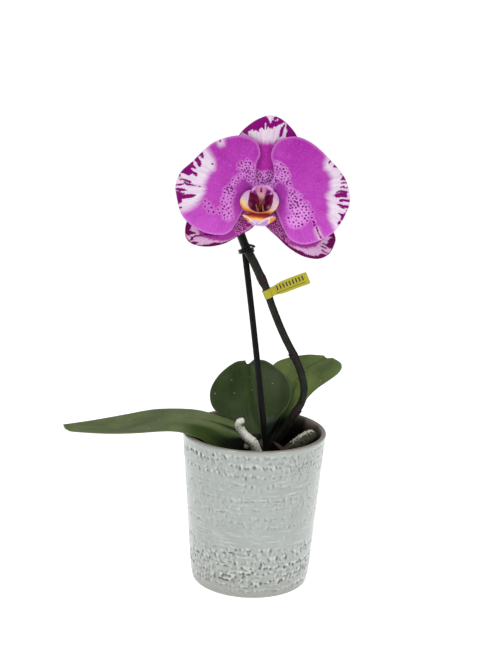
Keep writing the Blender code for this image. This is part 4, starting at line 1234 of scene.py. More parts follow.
@dataclass
class Lip:
    """The lip: a cup of two side lobes with the callus in it, and the middle lobe. Sizes in millimetres.

    The callus has its middle and its half sizes, and each of its prongs a route.
    """

    foot: Pair = (0.0, -6.0)
    mouth: Pair = (0.3, -12.0)
    turn: Pair = (0.05, 0.79)
    foot_depth: float = 3.4
    reach: float = 12.0
    cup: Line = ((-9.4, 1.4), (-14.5, -2), (-17.2, -9.5), (-13, -16), (-6, -18.7), (0.8, -19), (7, -17.3),
                 (12.2, -13.5), (14.5, -6.2), (12.2, -0.3), (8.6, 2.6))
    lobe: tuple[Line, Line] = (((-3, -16.6), (-8, -18.2), (-14, -20), (-10, -24), (-4.4, -28)),
                               ((3, -16.6), (8.5, -17.8), (13.8, -19.6), (10, -23.5), (5.6, -27.6)))
    lobe_depth: Triple = (12.8, 15.6, 14.0)
    folds: tuple[Line, Line] = (((-13.4, -20.1), (-9.5, -21.4), (-6.3, -23.7), (-2.6, -25.6)),
                                ((12.6, -18.4), (7.4, -20.0), (3.4, -22.8), (-0.2, -25.4)))
    thickness: float = 0.9
    callus: tuple[Triple, Triple] = ((-0.1, -12.8, 10.4), (2.6, 4.6, 2.9))
    prongs: tuple[Line, Line] = (
        ((-1.3, -16.6, 12.2), (-2.2, -14.4, 13.2), (-3.3, -12.2, 13.4), (-4.1, -10.0, 12.6)),
        ((3.0, -16.0, 12.2), (2.5, -14.0, 13.2), (1.9, -12.0, 13.4), (1.4, -9.8, 12.6)),
    )
    prong_radii: Pair = (1.45, 0.5)

    def lay_cup(self, draft: Draft) -> None:
        """Lays the two side lobes as one cup, open above."""
        rim = evenly(self.cup, 19)
        share = sweep(150)[None, :]
        outward = sweep(64)[:, None]
        middle = curve((self.foot, self.mouth), outward)
        # The rim rolls in along the sides and stands straight at the two upper tips
        rolled = self.turn[1] - 0.29 * np.exp(-np.minimum(share, 1 - share) / 0.055)
        angle = math.pi * (self.turn[0] + (rolled - self.turn[0]) * outward)
        spots = middle + (curve(rim, share) - middle) * np.sin(angle)[..., None]
        curl = 0.5 * outward**4 * np.sin(9 * math.pi * share + 0.6)
        grid = BLOOM.place(spots[..., 0], spots[..., 1], self.foot_depth + self.reach * outward**0.9 + curl)
        a, b = spots[..., 0], spots[..., 1]
        outer = np.clip((np.abs(a) - 9.5) / 6.0, 0, 1)
        inner_warmth = 0.14 + 0.86 * np.clip((-b - 11.5) / 7.0, 0, 1)
        outer_warmth = 0.12 + 0.052 * np.clip(-b - 4.2, 0, 16)
        warm = inner_warmth + (np.maximum(outer_warmth, inner_warmth) - inner_warmth) * outer
        edge = hump(1 - outward, 0.07) * np.clip((-b - 9.0) / 4.0, 0, 0.85)
        inner = np.clip((1 - outward) * 16, 0, 1) + 0 * share
        inward = unit(BLOOM.place(0.0, -8.0, 12.0) - grid)
        thick = (0.45 + 0.55 * np.clip((1 - outward) * 6, 0, 1)) * self.thickness * MM
        draft.shell(grid, thick, inward, ({"dark": inner}, {"dark": 0.0}), warm=warm, fan=share, edge=edge)

    def lay_lobe(self, draft: Draft) -> None:
        """Lays the middle lobe: an arrow with two raised pale folds that meet in a V."""
        foot, crest, tip = self.lobe_depth
        share = sweep(72)[:, None]
        across = sweep(81)[None, :]
        left, right = (curve(rail, share) for rail in self.lobe)
        spots = left + (right - left) * across[..., None]
        flat = spots.reshape(-1, 2)
        ridges = np.vstack([curve(fold, sweep(40)) for fold in self.folds])
        away = nearest(flat, ridges).reshape(spots.shape[:2])
        edge_left, edge_right = (evenly(fold, 24) for fold in self.folds)
        bound = np.maximum(np.interp(spots[..., 0], edge_left[:, 0], edge_left[:, 1]),
                           np.interp(spots[..., 0], edge_right[::-1, 0], edge_right[::-1, 1]))
        above = np.clip((spots[..., 1] - bound) / 0.8 + 0.5, 0, 1)
        side = np.abs(2 * across - 1)
        rise = foot + (tip - foot) * share + (crest - (foot + tip) / 2) * np.sin(math.pi * share)
        keel = 1.5 * np.sin(math.pi * across) * np.sin(math.pi * share)
        fold = 0.8 * hump(away, 0.7) * np.clip((1 - side) * 8, 0, 1)
        grid = BLOOM.place(spots[..., 0], spots[..., 1], rise + keel + fold - 0.5 * above)
        a, b = spots[..., 0], spots[..., 1]
        within = np.clip(1.05 - 0.85 * (-18.6 - b) / 4.4, 0.2, 1.0)
        beyond = 0.62 * np.clip((np.abs(a - 0.4) - 6.6) / 2.6, 0, 1)
        pale = 0.85 * hump(away, 0.47) + 0.5 * np.clip((-26.3 - b) / 1.2, 0, 1)
        thick = (0.55 + 0.45 * (1 - side**4)) * self.thickness * MM
        front = {"warm": within * above + beyond * (1 - above), "pale": np.clip(pale, 0, 1)}
        draft.shell(grid, thick, (0, -1, 0), (front, {"warm": 0.4}), fan=across)

    def lay_callus(self, draft: Draft) -> None:
        """Lays the callus: a warty cushion with two forward prongs."""
        turn = circuit(40)[None, :]
        rise = np.linspace(0.02, 0.98, 26)[:, None]
        wart = 1 + 0.09 * ripples(rise * 3, turn, (0.6, 3.0), 77)
        ball = np.sin(math.pi * rise) * wart
        middle, half = self.callus
        a = middle[0] + half[0] * ball * np.cos(math.tau * turn)
        b = middle[1] + half[1] * ball * np.sin(math.tau * turn)
        c = middle[2] - half[2] * np.cos(math.pi * rise) * wart
        core = np.clip(0.95 - 0.55 * np.clip((b + 11.5) / 4.0, 0, 1), 0.02, 1)
        draft.lay(BLOOM.place(a, b, c), True, False, (True, True), core=core, fan=turn)
        wide, thin = self.prong_radii
        share = sweep(26)
        blunt = np.sqrt(np.clip(1 - (2 * np.abs(share - 0.5)) ** 10, 0.03, 1))
        radii = (thin + (wide - thin) * (1 - share) ** 3) * blunt
        for prong in self.prongs:
            draft.tube(BLOOM.place(*evenly(prong, 26).T), radii * MM, 16, core=0.06, fan=0.0)

    def build(self, finish: Material) -> Piece:
        """Makes the piece."""
        draft = Draft()
        self.lay_cup(draft)
        self.lay_lobe(draft)
        self.lay_callus(draft)
        return settle(draft.build("lip", finish), "lip", "lip")


@dataclass(frozen=True)
class ColumnFlesh(Finish):
    """The column's waxy tissue.

    A pink cap with a dark-red mark, lilac behind it, and below it a face that darkens downward.
    """

    pink: str = "#c3759f"
    pale: str = "#bb9290"
    dusk: str = "#7d4450"
    lilac: str = "#d995d6"
    mark: str = "#64081f"

    def material(self) -> Material:
        """Makes the material."""
        made, put = self.start(Roughness=0.36, IOR=1.42, Specular_IOR_Level=0.35, Coat_Weight=0.05,
                               Coat_Roughness=0.18)
        place = put("TexCoord")
        pale, mark, behind = (put("Attribute", attribute_name=name) for name in ("pale", "mark", "behind"))
        grain = put("TexNoise", {"Vector": place, "Scale": per_mm(1.2), "Detail": 3.0})
        wander = put("Math", {0: grain, 1: 0.3, 2: -0.15})
        share = put("Math", {0: pale, 1: wander}, operation="ADD")
        body = put("ValToRGB", {0: share}, ramp=((0.05, self.pink), (0.85, self.dusk), (0.35, self.pale)))
        backed = put("Mix", {0: behind, 6: body, 7: self.lilac})
        colour = put("Mix", {0: mark, 6: backed, 7: self.mark})
        rough = put("MapRange", {0: grain, 1: 0.3, 2: 0.7, 3: 0.3, 4: 0.45})
        return dress(made, colour, rough, grain, 0.06)


@dataclass
class Column:
    """The column over the lip: its broad cap, the narrow face and two curled arms. Sizes in millimetres."""

    route: Line = ((0, 0, 2.9), (-0.2, 0.8, 5.6), (-0.7, 2.0, 8.6), (-1.1, 2.6, 11.2), (-0.9, 1.0, 12.8),
                   (-0.4, -1.6, 13.0), (0.1, -4.2, 12.4), (0.3, -6.4, 11.4), (0.3, -8.4, 10.6))
    radii: tuple[float, ...] = (3.1, 3.5, 4.0, 4.3, 3.8, 2.8, 2.2, 1.8, 1.3)
    arms: tuple[Line, Line] = (
        ((-2.2, 3.2, 9.6), (-5.2, 3.4, 10.8), (-7.8, 1.6, 11.6), (-8.6, -0.8, 11.8)),
        ((1.2, 4.0, 9.6), (4.4, 5.0, 10.8), (7.6, 3.2, 11.6), (8.6, 0.6, 11.8), (6.6, -0.8, 12.2)),
    )
    arm_radii: Pair = (2.1, 0.8)
    mark: tuple[Pair, Pair] = ((-1.2, 4.3), (-0.9, 1.6))

    def build(self, finish: Material) -> Piece:
        """Makes the piece."""
        draft = Draft()
        steps = sweep(90)
        line = curve(self.route, steps)
        radii = curve([(radius,) for radius in self.radii], steps)
        turn = circuit(56)[None, :]
        blunt = np.sqrt(np.clip((1 - steps[:, None]) * 14, 0.1, 1))
        radii = radii * (1 + 0.2 * np.cos(4 * math.pi * turn)) * blunt
        grid = tube_grid(BLOOM.place(*line.T), radii * MM, 56)
        away = (grid - np.array(BLOOM.middle) * MM) / MM
        a = away[..., 0] * math.cos(BLOOM.lean) - away[..., 2] * math.sin(BLOOM.lean)
        b = away[..., 0] * math.sin(BLOOM.lean) + away[..., 2] * math.cos(BLOOM.lean)
        front = np.clip((-away[..., 1] - 9.0) / 2.0, 0, 1)
        top, low = (np.array(end) for end in self.mark)
        share = np.clip((top[1] - b) / (top[1] - low[1]), 0, 1)
        gap = np.hypot(a - (top[0] + (low[0] - top[0]) * share), b - (top[1] + (low[1] - top[1]) * share))
        mark = np.clip((0.55 + 0.45 * share - gap) / 0.25 + 0.5, 0, 1) * front
        draft.lay(grid, True, False, (True, True), pale=np.clip((0.8 - b) / 8.0, 0, 1), mark=mark,
                  behind=0.8 * np.maximum(rising(b, 3.4, 5.6), 1 - front))
        wide, thin = self.arm_radii
        share = sweep(40)
        radii = (wide + (thin - wide) * share) * np.sqrt(np.clip((1 - share) * 12, 0.05, 1)) * MM
        for arm in self.arms:
            draft.tube(BLOOM.place(*evenly(arm, 40).T), radii, 24, pale=0.1, mark=0.0, behind=0.9)
        return settle(draft.build("column", finish), "column", "column")


# Leaves

@dataclass(frozen=True)
class OrchidLeaf(Finish):
    """A thick, leathery orchid leaf.

    Its skin is waxy and satin, with faint lengthwise veins, a paler margin and a few white specks of dried
    water. A groove along the midrib carries a dark line of painted shade, painted shade in the crown and in
    the folds reaches nearly black, and parts of the near half are yellow-green, partly the leaf's own colour
    and partly painted light.
    """

    deep: str = "#2a361c"
    body: str = "#3d4d2a"
    light: str = "#4f6038"
    bright: str = "#304a08"
    shade: str = "#050a02"
    under: str = "#47611f"
    line: float = 0.3
    margin: str = "#7c8a68"
    dried: str = "#b9c0ae"

    def material(self) -> Material:
        """Makes the material."""
        made, put = self.start(Roughness=0.42, IOR=1.45, Specular_IOR_Level=0.16)
        across, along, edge, side, gloom, glow = (
            put("Attribute", attribute_name=name)
            for name in ("across", "along", "edge", "side", "gloom", "glow")
        )
        place = put("TexCoord")
        # Veins about 1.6 mm apart that run the length of the leaf
        spread = put("CombineXYZ", {0: across, 1: along})
        long = put("Mapping", {"Vector": spread, "Scale": (0.6, 4.0, 1.0)})
        veins = put("TexNoise", {"Vector": long, "Scale": 1.0, "Detail": 3.0, "Roughness": 0.55})
        cloud = put("TexNoise", {"Vector": place, "Scale": per_mm(18)})
        skin = put("TexNoise", {"Vector": place, "Scale": per_mm(0.9), "Detail": 3.0})
        mixed = put("Math", {0: veins, 1: 0.45, 2: cloud})
        top = put("ValToRGB", {0: mixed}, ramp=((0.50, self.deep), (0.98, self.light), (0.74, self.body)))
        # A dark line of painted shade along the midrib's groove
        rib = put("Math", {0: across}, operation="ABSOLUTE")
        groove = put("MapRange", {0: rib, 1: 0.3, 2: 2.4, 3: self.line, 4: 0.0},
                     interpolation_type="SMOOTHSTEP")
        groove_shaded = put("Mix", {0: groove, 6: top, 7: self.shade})
        below = put("Mix", {0: cloud, 6: self.under, 7: self.body})
        faced = put("Mix", {0: side, 6: below, 7: groove_shaded})
        rim = put("MapRange", {0: edge, 1: 0.2, 2: 1.2, 3: 0.26, 4: 0.0})
        rimmed = put("Mix", {0: rim, 6: faced, 7: self.margin})
        # Specks of dried water, 0.8 mm across, in a quarter of the 18 mm cells
        laid = put("Mapping", {"Vector": spread, "Scale": (0.055, 9.0, 1.0)})
        specks = put("TexVoronoi", {"Vector": laid, "Scale": 1.0}, "Distance", voronoi_dimensions="2D")
        tints = put("TexVoronoi", {"Vector": laid, "Scale": 1.0}, "Color", voronoi_dimensions="2D")
        lot = put("SeparateColor", {0: tints})
        here = put("Math", {0: lot, 1: 0.28}, operation="LESS_THAN")
        small = put("MapRange", {0: specks, 1: 0.045, 2: 0.025, 4: 0.55})
        speck = put("Math", {0: small, 1: here}, operation="MULTIPLY")
        specked = put("Mix", {0: speck, 6: rimmed, 7: self.dried})
        wander = put("Math", {0: veins, 1: 0.4, 2: -0.2})
        # Yellow-green where glow is set: partly the leaf's own colour, partly painted light
        lit = put("Math", {0: glow, 1: 1.0, 2: wander}, use_clamp=True)
        glowing = put("Mix", {0: lit, 6: specked, 7: self.bright})
        # Painted shade in the crown, beside the midrib and across the folds, down to near black
        dim = put("Math", {0: gloom, 1: 1.0, 2: wander}, use_clamp=True)
        colour = put("Mix", {0: dim, 6: glowing, 7: self.shade})
        rough = put("MapRange", {0: cloud, 1: 0.3, 2: 0.7, 3: 0.38, 4: 0.52})
        relief = put("Math", {0: skin, 1: 0.35, 2: veins})
        return dress(made, colour, rough, relief, 0.10)


@dataclass
class Leaf:
    """One leaf lofted over three rails: the far or left edge, the midrib, and the near or right edge.

    Its shade pair is how far along, as a share of its length, the painted shade of the crown reaches on its
    far and on its near half. Its glow is the stretch where its near half is yellow-green, partly its own
    colour and partly painted light; its crease the stretch where a painted shadow runs beside the midrib; its
    band how green it is along the midrib; and its fold the stretch in which a soft band of painted shade
    crosses it from the far to the near edge.
    """

    name: str
    slot: str
    rails: tuple[Line, Line, Line]
    thickness: float = 2.0
    groove: float = 0.9
    gloom: Pair = (0.16, 0.16)
    glow: Triple = (0.0, 0.0, 0.0)
    crease_shadow: Triple = (0.0, 0.0, 0.0)
    band: float = 0.0
    fold: Triple = (0.0, 0.0, 0.0)

    def shading(self, along: Grid, across: Grid, side: Grid) -> tuple[Grid, Grid]:
        """Says how much painted shade and how much yellow-green each place of the top has.

        Args:
            along: Places along the leaf, as shares of its length.
            across: Places across it, in millimetres from the midrib.
            side: Places across it, from -1 at the far edge to 1 at the near one.

        Returns:
            The painted shade and the glow, each from 0 to 1.
        """
        # Painted shade of the crown, reaching further along on the near half
        reach = self.gloom[0] + (self.gloom[1] - self.gloom[0]) * rising(side, 0.15, 0.7)
        gloom = rising(along, reach, 0.68 * reach)
        # A painted shadow beside the midrib
        start, stop, dark = self.crease_shadow
        if dark:
            fold = rising(along, start, start + 0.08) * rising(along, stop, stop - 0.14)
            width = 1.2 + 2.4 * rising(along, stop, start)
            gloom = np.maximum(gloom, dark * fold * hump(across - width, width))
        # A soft band of painted shade that crosses the leaf
        first, last, strength = self.fold
        if strength:
            centre = -0.9 + 1.5 * (along - first) / (last - first)
            stretch = rising(along, first, first + 0.08) * rising(along, last, last - 0.08)
            gloom = np.maximum(gloom, strength * hump(side - centre, 0.34) * stretch)
        # Yellow-green on the near half: partly the leaf's own colour, partly painted light
        first, last, strength = self.glow
        glow = np.zeros_like(along)
        if strength:
            middle, half = (first + last) / 2, (last - first) / 2
            glow = strength * rising(np.abs(along - middle), half, 0.4 * half) * rising(side, 0.25, 0.55)
        return gloom, np.maximum(glow, self.band * hump(across + 2.5, 3.5) * rising(along, 0.25, 0.5))

    def build(self, finish: Material) -> Piece:
        """Lays the blade, grooved above the midrib and keeled below it.

        Args:
            finish: The leaf's material.

        Returns:
            The piece.
        """
        share = sweep(150)
        even = np.linspace(-1, 1, 61)
        side = np.sign(even) * np.abs(even) ** 1.15
        far, rib, near = (curve(rail, share)[:, None, :] for rail in self.rails)
        bow = side[None, :, None]
        grid = rib + (near - far) * (bow / 2) + ((far + near) / 2 - rib) * (bow * bow)
        normal = facing(grid)
        flip = float((normal @ np.array((0.0, -0.5, 1.0))).sum()) < 0
        if flip:
            normal = -normal
        wide = np.linalg.norm(near - far, axis=-1) / 2
        across = wide * side[None, :]
        edge = wide - np.abs(across)
        taper = np.clip(share / 0.08, 0, 1)[:, None]
        dip = self.groove * hump(across, 1.5) * np.clip(share * 9, 0, 1)[:, None]
        lengthwise = 0.06 * np.sin(across * 1.6 + 4 * share[:, None]) * np.clip(edge / 6, 0, 1)
        sway = ripples(share[:, None] * 3, 0.02 * across, (0.4, 1.6), len(self.name))
        sway = 0.30 * sway * (np.abs(bow[..., 0]) ** 3)
        keel = 0.55 * hump(across, 2.4)
        thick = self.thickness * (0.34 + 0.66 * np.clip(edge / 9, 0, 1) ** 0.7) * (0.7 + 0.3 * taper)
        top = grid + normal * (thick / 2 - dip + lengthwise + sway)[..., None]
        under = grid - normal * (thick / 2 + keel * np.clip(edge / 4, 0, 1) - sway)[..., None]
        along = np.broadcast_to(share[:, None], across.shape)
        gloom, glow = self.shading(along, across, side[None, :])
        draft = Draft()
        back = {"across": across, "along": along, "edge": edge, "gloom": gloom, "side": 0.0, "glow": 0.0}
        draft.pair(top * MM, under * MM, flip, {**back, "side": 1.0, "glow": glow}, back)
        return settle(draft.build(self.name, finish, 70.0), self.slot, self.name)


LEAVES = (
    Leaf("leaf_left", "leaf_grey_green", (
        ((2.0, 6.3, 127), (-7, 10, 136.5), (-24, 14, 145), (-54, 28, 149.5), (-88, 34, 147.5),
         (-121, 29, 142.5), (-153, 18, 138.5), (-174.5, 7.5, 137.5)),
        ((0.8, 2.0, 126), (-6, 0.5, 135.5), (-20, -2, 143.5), (-51, -4, 151), (-82, -2, 148.5),
         (-117, -1, 139.5), (-148, -1, 136.5), (-171.5, 0, 137.3)),
        ((1.8, -2.3, 126), (-8, -12, 128.5), (-26, -34, 130.5), (-48.5, -35.5, 143.4), (-72, -34.5, 148.6),
         (-106, -31, 144.8), (-141, -20.0, 139.8), (-167, -6.5, 136.2)),
    ), groove=0.3, gloom=(0.10, 0.42), glow=(0.14, 0.56, 0.90), crease_shadow=(0.16, 0.44, 0.95),
    fold=(0.48, 0.82, 0.20)),
    Leaf("leaf_centre", "leaf_dark_green", (
        ((4, 9.0, 128.5), (-6, 14.5, 135), (-20.5, 19.5, 142.5), (-38, 25, 152.5), (-42, 33, 166.5),
         (-34.5, 41.4, 180.4), (-20.5, 48.2, 190.9), (-10.4, 51.4, 192.6)),
        ((8, 9.2, 128.5), (6, 13, 136), (1.7, 19, 146), (-1.5, 28, 157), (-3.5, 36, 167),
         (-5.5, 43, 176.5), (-7, 49, 183.5), (-8.0, 52.5, 189)),
        ((12, 9.0, 129), (16.5, 11.5, 138.5), (22.5, 15, 150.5), (30.5, 23, 159.5), (32.5, 31, 171.5),
         (25.0, 39.8, 184.2), (9.5, 47, 193.6), (-3.0, 50.8, 193.8)),
    ), gloom=(0.13, 0.28), band=0.35),
    Leaf("leaf_right", "leaf_mid_green", (
        ((12.4, 7.4, 125), (14.5, 16, 134.5), (14.5, 30, 154.5), (13, 50, 174), (16, 62, 186),
         (28, 70.5, 190.8), (47, 72.5, 194.3), (63.5, 69, 195.4)),
        ((13.8, 5.8, 124.7), (19.5, 13, 135), (26, 24, 146.5), (32, 36, 161.5), (37.5, 46, 174),
         (44, 54, 182.5), (54.5, 61.5, 189.0), (66.6, 66.8, 193.4)),
        ((14.4, 4.2, 124.5), (23.5, 9, 134.5), (34, 20, 145.5), (43, 28.6, 158), (56, 36.5, 170.9),
         (76.0, 48.3, 183.6), (79.9, 57.0, 190.2), (72.0, 66.4, 193.9)),
    ), groove=0.6, gloom=(0.37, 0.48)),
)


# Stem, stake, clip and label

@dataclass(frozen=True)
class StemSkin(Finish):
    """The stem's skin: dark olive with lengthwise streaks, purple-brown at the nodes, a dull satin."""

    deep: str = "#070904"
    body: str = "#11140b"
    light: str = "#262a1b"
    node: str = "#260f18"
    shade: str = "#060704"

    def material(self) -> Material:
        """Makes the material."""
        made, put = self.start(Roughness=0.45, IOR=1.45, Specular_IOR_Level=0.24)
        turn, along, node, gloom = (
            put("Attribute", attribute_name=name) for name in ("round", "along", "node", "gloom")
        )
        place = put("TexCoord")
        # Fibres about 0.8 mm apart, drawn out 30 mm along the stem
        wind = put("Math", {0: turn, 1: math.tau}, operation="MULTIPLY")
        level = put("Math", {0: wind}, operation="COSINE")
        upright = put("Math", {0: wind}, operation="SINE")
        ring = put("CombineXYZ", {0: level, 1: upright, 2: along})
        long = put("Mapping", {"Vector": ring, "Scale": (3.2, 3.2, 0.035)})
        fibres = put("TexNoise", {"Vector": long, "Scale": 1.0, "Detail": 3.0})
        cloud = put("TexNoise", {"Vector": place, "Scale": per_mm(6)})
        mixed = put("Math", {0: cloud, 1: 0.5, 2: fibres})
        body = put("ValToRGB", {0: mixed}, ramp=((0.56, self.deep), (0.95, self.light), (0.74, self.body)))
        noded = put("Mix", {0: node, 6: body, 7: self.node})
        # Painted shade at the stem's foot, near the pot
        colour = put("Mix", {0: gloom, 6: noded, 7: self.shade})
        rough = put("MapRange", {0: fibres, 1: 0.3, 2: 0.7, 3: 0.36, 4: 0.55})
        return dress(made, colour, rough, fibres, 0.15)


@dataclass
class FlowerStem:
    """The flower stem with its nodes and bracts, the thin stalk and the receptacle. Sizes in millimetres."""

    radius: float = 3.35
    upper_radius: float = 3.8
    node_radius: float = 3.9
    route: Line = (
        (17.2, -1.8, 121), (20, -2.5, 132.5), (25, -4, 139.5), (30.5, -5, 150), (36.5, -6, 161.5),
        (41.5, -6, 171), (43.3, -6, 181), (42.0, -5, 191), (38, -4, 202.5), (33.3, -3, 212.5),
        (23, -2, 231.5), (15.8, -1, 247), (10.5, -1, 260), (6.5, -1, 271.5), (2, -1, 280.5),
        (-5.5, -1, 295.5), (-12.7, 0, 308), (-17, 1, 317.5), (-20.5, 2, 327.5), (-23.5, 4, 337.5),
    )
    nodes: Line = ((36.5, -6, 161.5), (33.3, -3, 212.5), (2, -1, 280.5))
    stalk_radius: float = 1.9
    stalk: Line = ((-19, 1.5, 323.5), (-19.5, -1, 336.5), (-15.5, -7, 349.5), (-8.5, -15, 359.5),
                   (-1.5, -25, 364.3))
    receptacle: Triple = (-8.0, 2.6, 3.0)
    bract_turns: Triple = (math.pi - 0.4, 0.5, math.pi - 0.4)
    bract_thickness: float = 0.35

    def bract(self, draft: Draft, line: np.ndarray, node: Sequence[float], turn: float) -> None:
        """Lays a papery scale that clasps the stem above a node and ends in a point."""
        near = int(np.argmin(np.linalg.norm(line - np.array(node), axis=1)))
        heading = unit(line[near + 2] - line[near - 2])
        side = unit(np.cross(heading, (0.0, 1.0, 0.0)))
        up = np.cross(heading, side)
        rise = sweep(22)[:, None]
        spread = np.linspace(-1, 1, 25)[None, :] * (1.5 * (1 - rise**1.6) + 0.06)
        reach = self.node_radius + 0.2 + 0.25 * rise**2
        angle = spread + turn
        grid = (
            line[near] + heading * (5.2 * rise[..., None] - 1.0)
            + (np.cos(angle) * reach)[..., None] * side + (np.sin(angle) * reach)[..., None] * up
        )
        out = side * math.cos(turn) + up * math.sin(turn)
        draft.shell(grid * MM, self.bract_thickness * MM, out, round=angle / math.tau, along=200 * rise,
                    node=0.55 + 0.4 * rise, gloom=0.0)

    def build(self, finish: Material) -> Piece:
        """Makes the piece."""
        draft = Draft()
        count = 260
        line = evenly(self.route, count)
        radii = self.radius + (self.upper_radius - self.radius) * rising(line[:, 2], 270.0, 285.0)
        blush = np.zeros(count)
        for node in self.nodes:
            away = np.linalg.norm(line - np.array(node), axis=1)
            radii += (self.node_radius - self.radius) * hump(away, 4) - 0.3 * hump(away, 1.0)
            blush = np.maximum(blush, hump(away, 4.5))
        end = sweep(count)
        radii *= np.sqrt(np.clip(1 - ((end - 0.985) / 0.0155).clip(0, 1) ** 2, 0.04, 1))
        turn = circuit(36)[None, :]
        along = np.linspace(0, 300, count)[:, None]
        flutes = 0.10 * np.sin(math.tau * 5 * turn + along / 40)
        flutes = flutes + 0.06 * ripples(along / 12, turn, (0.3, 4), 5)
        # Painted shade on the stem's foot, growing from 162 mm down to 140 mm
        draft.tube(line * MM, (radii[:, None] + flutes) * MM, 36, round=turn, along=along,
                   node=0.75 * blush[:, None], gloom=0.9 * rising(line[:, 2:], 162.0, 140.0))
        for node, facing_turn in zip(self.nodes, self.bract_turns):
            self.bract(draft, line, node, facing_turn)
        stalk = evenly(self.stalk, 60)
        back, front, wide = self.receptacle
        ends = BLOOM.place(np.zeros(2), np.zeros(2), np.array((back, front))) / MM
        stalk = np.vstack([stalk, ends[0] + (ends[1] - ends[0]) * np.array([[0.35], [0.7], [1.0]])])
        stalk = evenly(stalk, 90)
        share = sweep(90)[:, None]
        width = self.stalk_radius + (wide - self.stalk_radius) * np.clip((share - 0.80) / 0.14, 0, 1) ** 1.5
        ribs = 0.12 * np.sin(math.tau * 6 * turn)
        draft.tube(stalk * MM, (width + ribs) * MM, 36, round=turn, along=200 * share, node=0.55, gloom=0.0)
        return settle(draft.build("flower_stem", finish, 60.0), "stem", "flower_stem")


@dataclass(frozen=True)
class MouldedPlastic(Finish):
    """Polypropylene, moulded or extruded and pigmented black: an even satin with faint dust in its ribs."""

    body: str = "#020203"
    dust: str = "#090a0b"
    gloss: float = 0.38

    def material(self) -> Material:
        """Makes the material."""
        made, put = self.start(Roughness=self.gloss, IOR=1.49, Specular_IOR_Level=0.18)
        place = put("TexCoord")
        dust = put("TexNoise", {"Vector": place, "Scale": per_mm(3), "Detail": 4.0})
        grain = put("TexNoise", {"Vector": place, "Scale": per_mm(0.5)})
        share = put("MapRange", {0: dust, 1: 0.45, 2: 0.8, 4: 0.8})
        colour = put("Mix", {0: share, 6: self.body, 7: self.dust})
        rough = put("MapRange", {0: dust, 1: 0.3, 2: 0.8, 3: self.gloss - 0.06, 4: self.gloss + 0.15})
        return dress(made, colour, rough, grain, 0.03)


@dataclass
class Supports:
    """The stake and the clip that holds the stem to it. Sizes in millimetres."""

    stem: FlowerStem = field(default_factory=FlowerStem)
    stake_radius: float = 2.85
    stake_top: Triple = (-15.0, 6.5, 309.5)
    stake_bottom: Triple = (25.0, -23.8, 31.5)
    ribs: int = 8
    bend: float = 0.6
    wire: float = 1.05
    height: float = 305.4
    turns: int = 2
    pitch: float = 1.9
    axis: Triple = (-0.30, 0.10, 0.95)
    first_angle: float = math.pi - 0.35
    prong: Line = ((-0.8, 0.6, 1.4), (-2.0, 1.2, 2.9), (2.2, 0.6, 3.3), (6.9, 0.0, 2.0))

    def build_stake(self, finish: Material) -> Piece:
        """Makes the stake: a slightly bent rod with lengthwise ribs and a rounded top."""
        top, bottom = np.array(self.stake_top), np.array(self.stake_bottom)
        share = np.concatenate([np.linspace(0, 0.99, 60), np.linspace(0.9915, 1.0, 10)])
        line = bottom + (top - bottom) * share[:, None]
        line[:, 0] += self.bend * np.sin(math.pi * share**2)
        left = np.clip((1.0 - share) * np.linalg.norm(top - bottom) / 2.2, 0, 1)
        dome = np.sqrt(np.clip(1 - (1 - left) ** 2, 0.03, 1))
        turn = circuit(64)[None, :]
        rib = 1 - 0.085 * (0.5 + 0.5 * np.cos(math.tau * self.ribs * turn)) ** 2
        draft = Draft()
        draft.tube(line * MM, self.stake_radius * MM * dome[:, None] * rib, 64)
        return settle(draft.build("support_stake", finish, 40.0), "stake_plastic", "support_stake")

    def build_clip(self, finish: Material) -> Piece:
        """Makes the clip: a wire that winds round stem and stake, with one end standing off as a prong."""
        dense = evenly(self.stem.route, 200)
        stem_spot = dense[int(np.argmin(np.abs(dense[:, 2] - self.height)))]
        top, bottom = np.array(self.stake_top), np.array(self.stake_bottom)
        stake_spot = bottom + (top - bottom) * (stem_spot[2] - bottom[2]) / (top[2] - bottom[2])
        middle = (stem_spot + stake_spot) / 2
        long_way = stake_spot - stem_spot
        reach_long = np.linalg.norm(long_way) / 2 + self.stem.radius + 0.6 + self.wire
        reach_short = self.stem.radius * 1.22 + 0.3 + self.wire
        axis = unit(np.array(self.axis))
        across = unit(long_way - axis * (long_way @ axis))
        other = np.cross(axis, across)
        turns = np.linspace(0, self.turns, 14 * self.turns + 1)
        angle = math.tau * turns + self.first_angle
        points = (
            middle
            + across * (reach_long * np.cos(angle))[:, None]
            + other * (reach_short * np.sin(angle))[:, None]
            + axis * (self.pitch * (turns - self.turns / 2))[:, None]
        )
        line = evenly(np.vstack([points, points[-1] + np.array(self.prong)]), 220)
        share = sweep(220)
        past = np.clip((np.abs(share - 0.5) - 0.49) / 0.01, 0, 1)
        radii = self.wire * np.sqrt(np.clip(1 - past**2, 0.05, 1))
        draft = Draft()
        draft.tube(line * MM, radii * MM, 14)
        return settle(draft.build("stem_clip", finish, 50.0), "clip_plastic", "stem_tie")


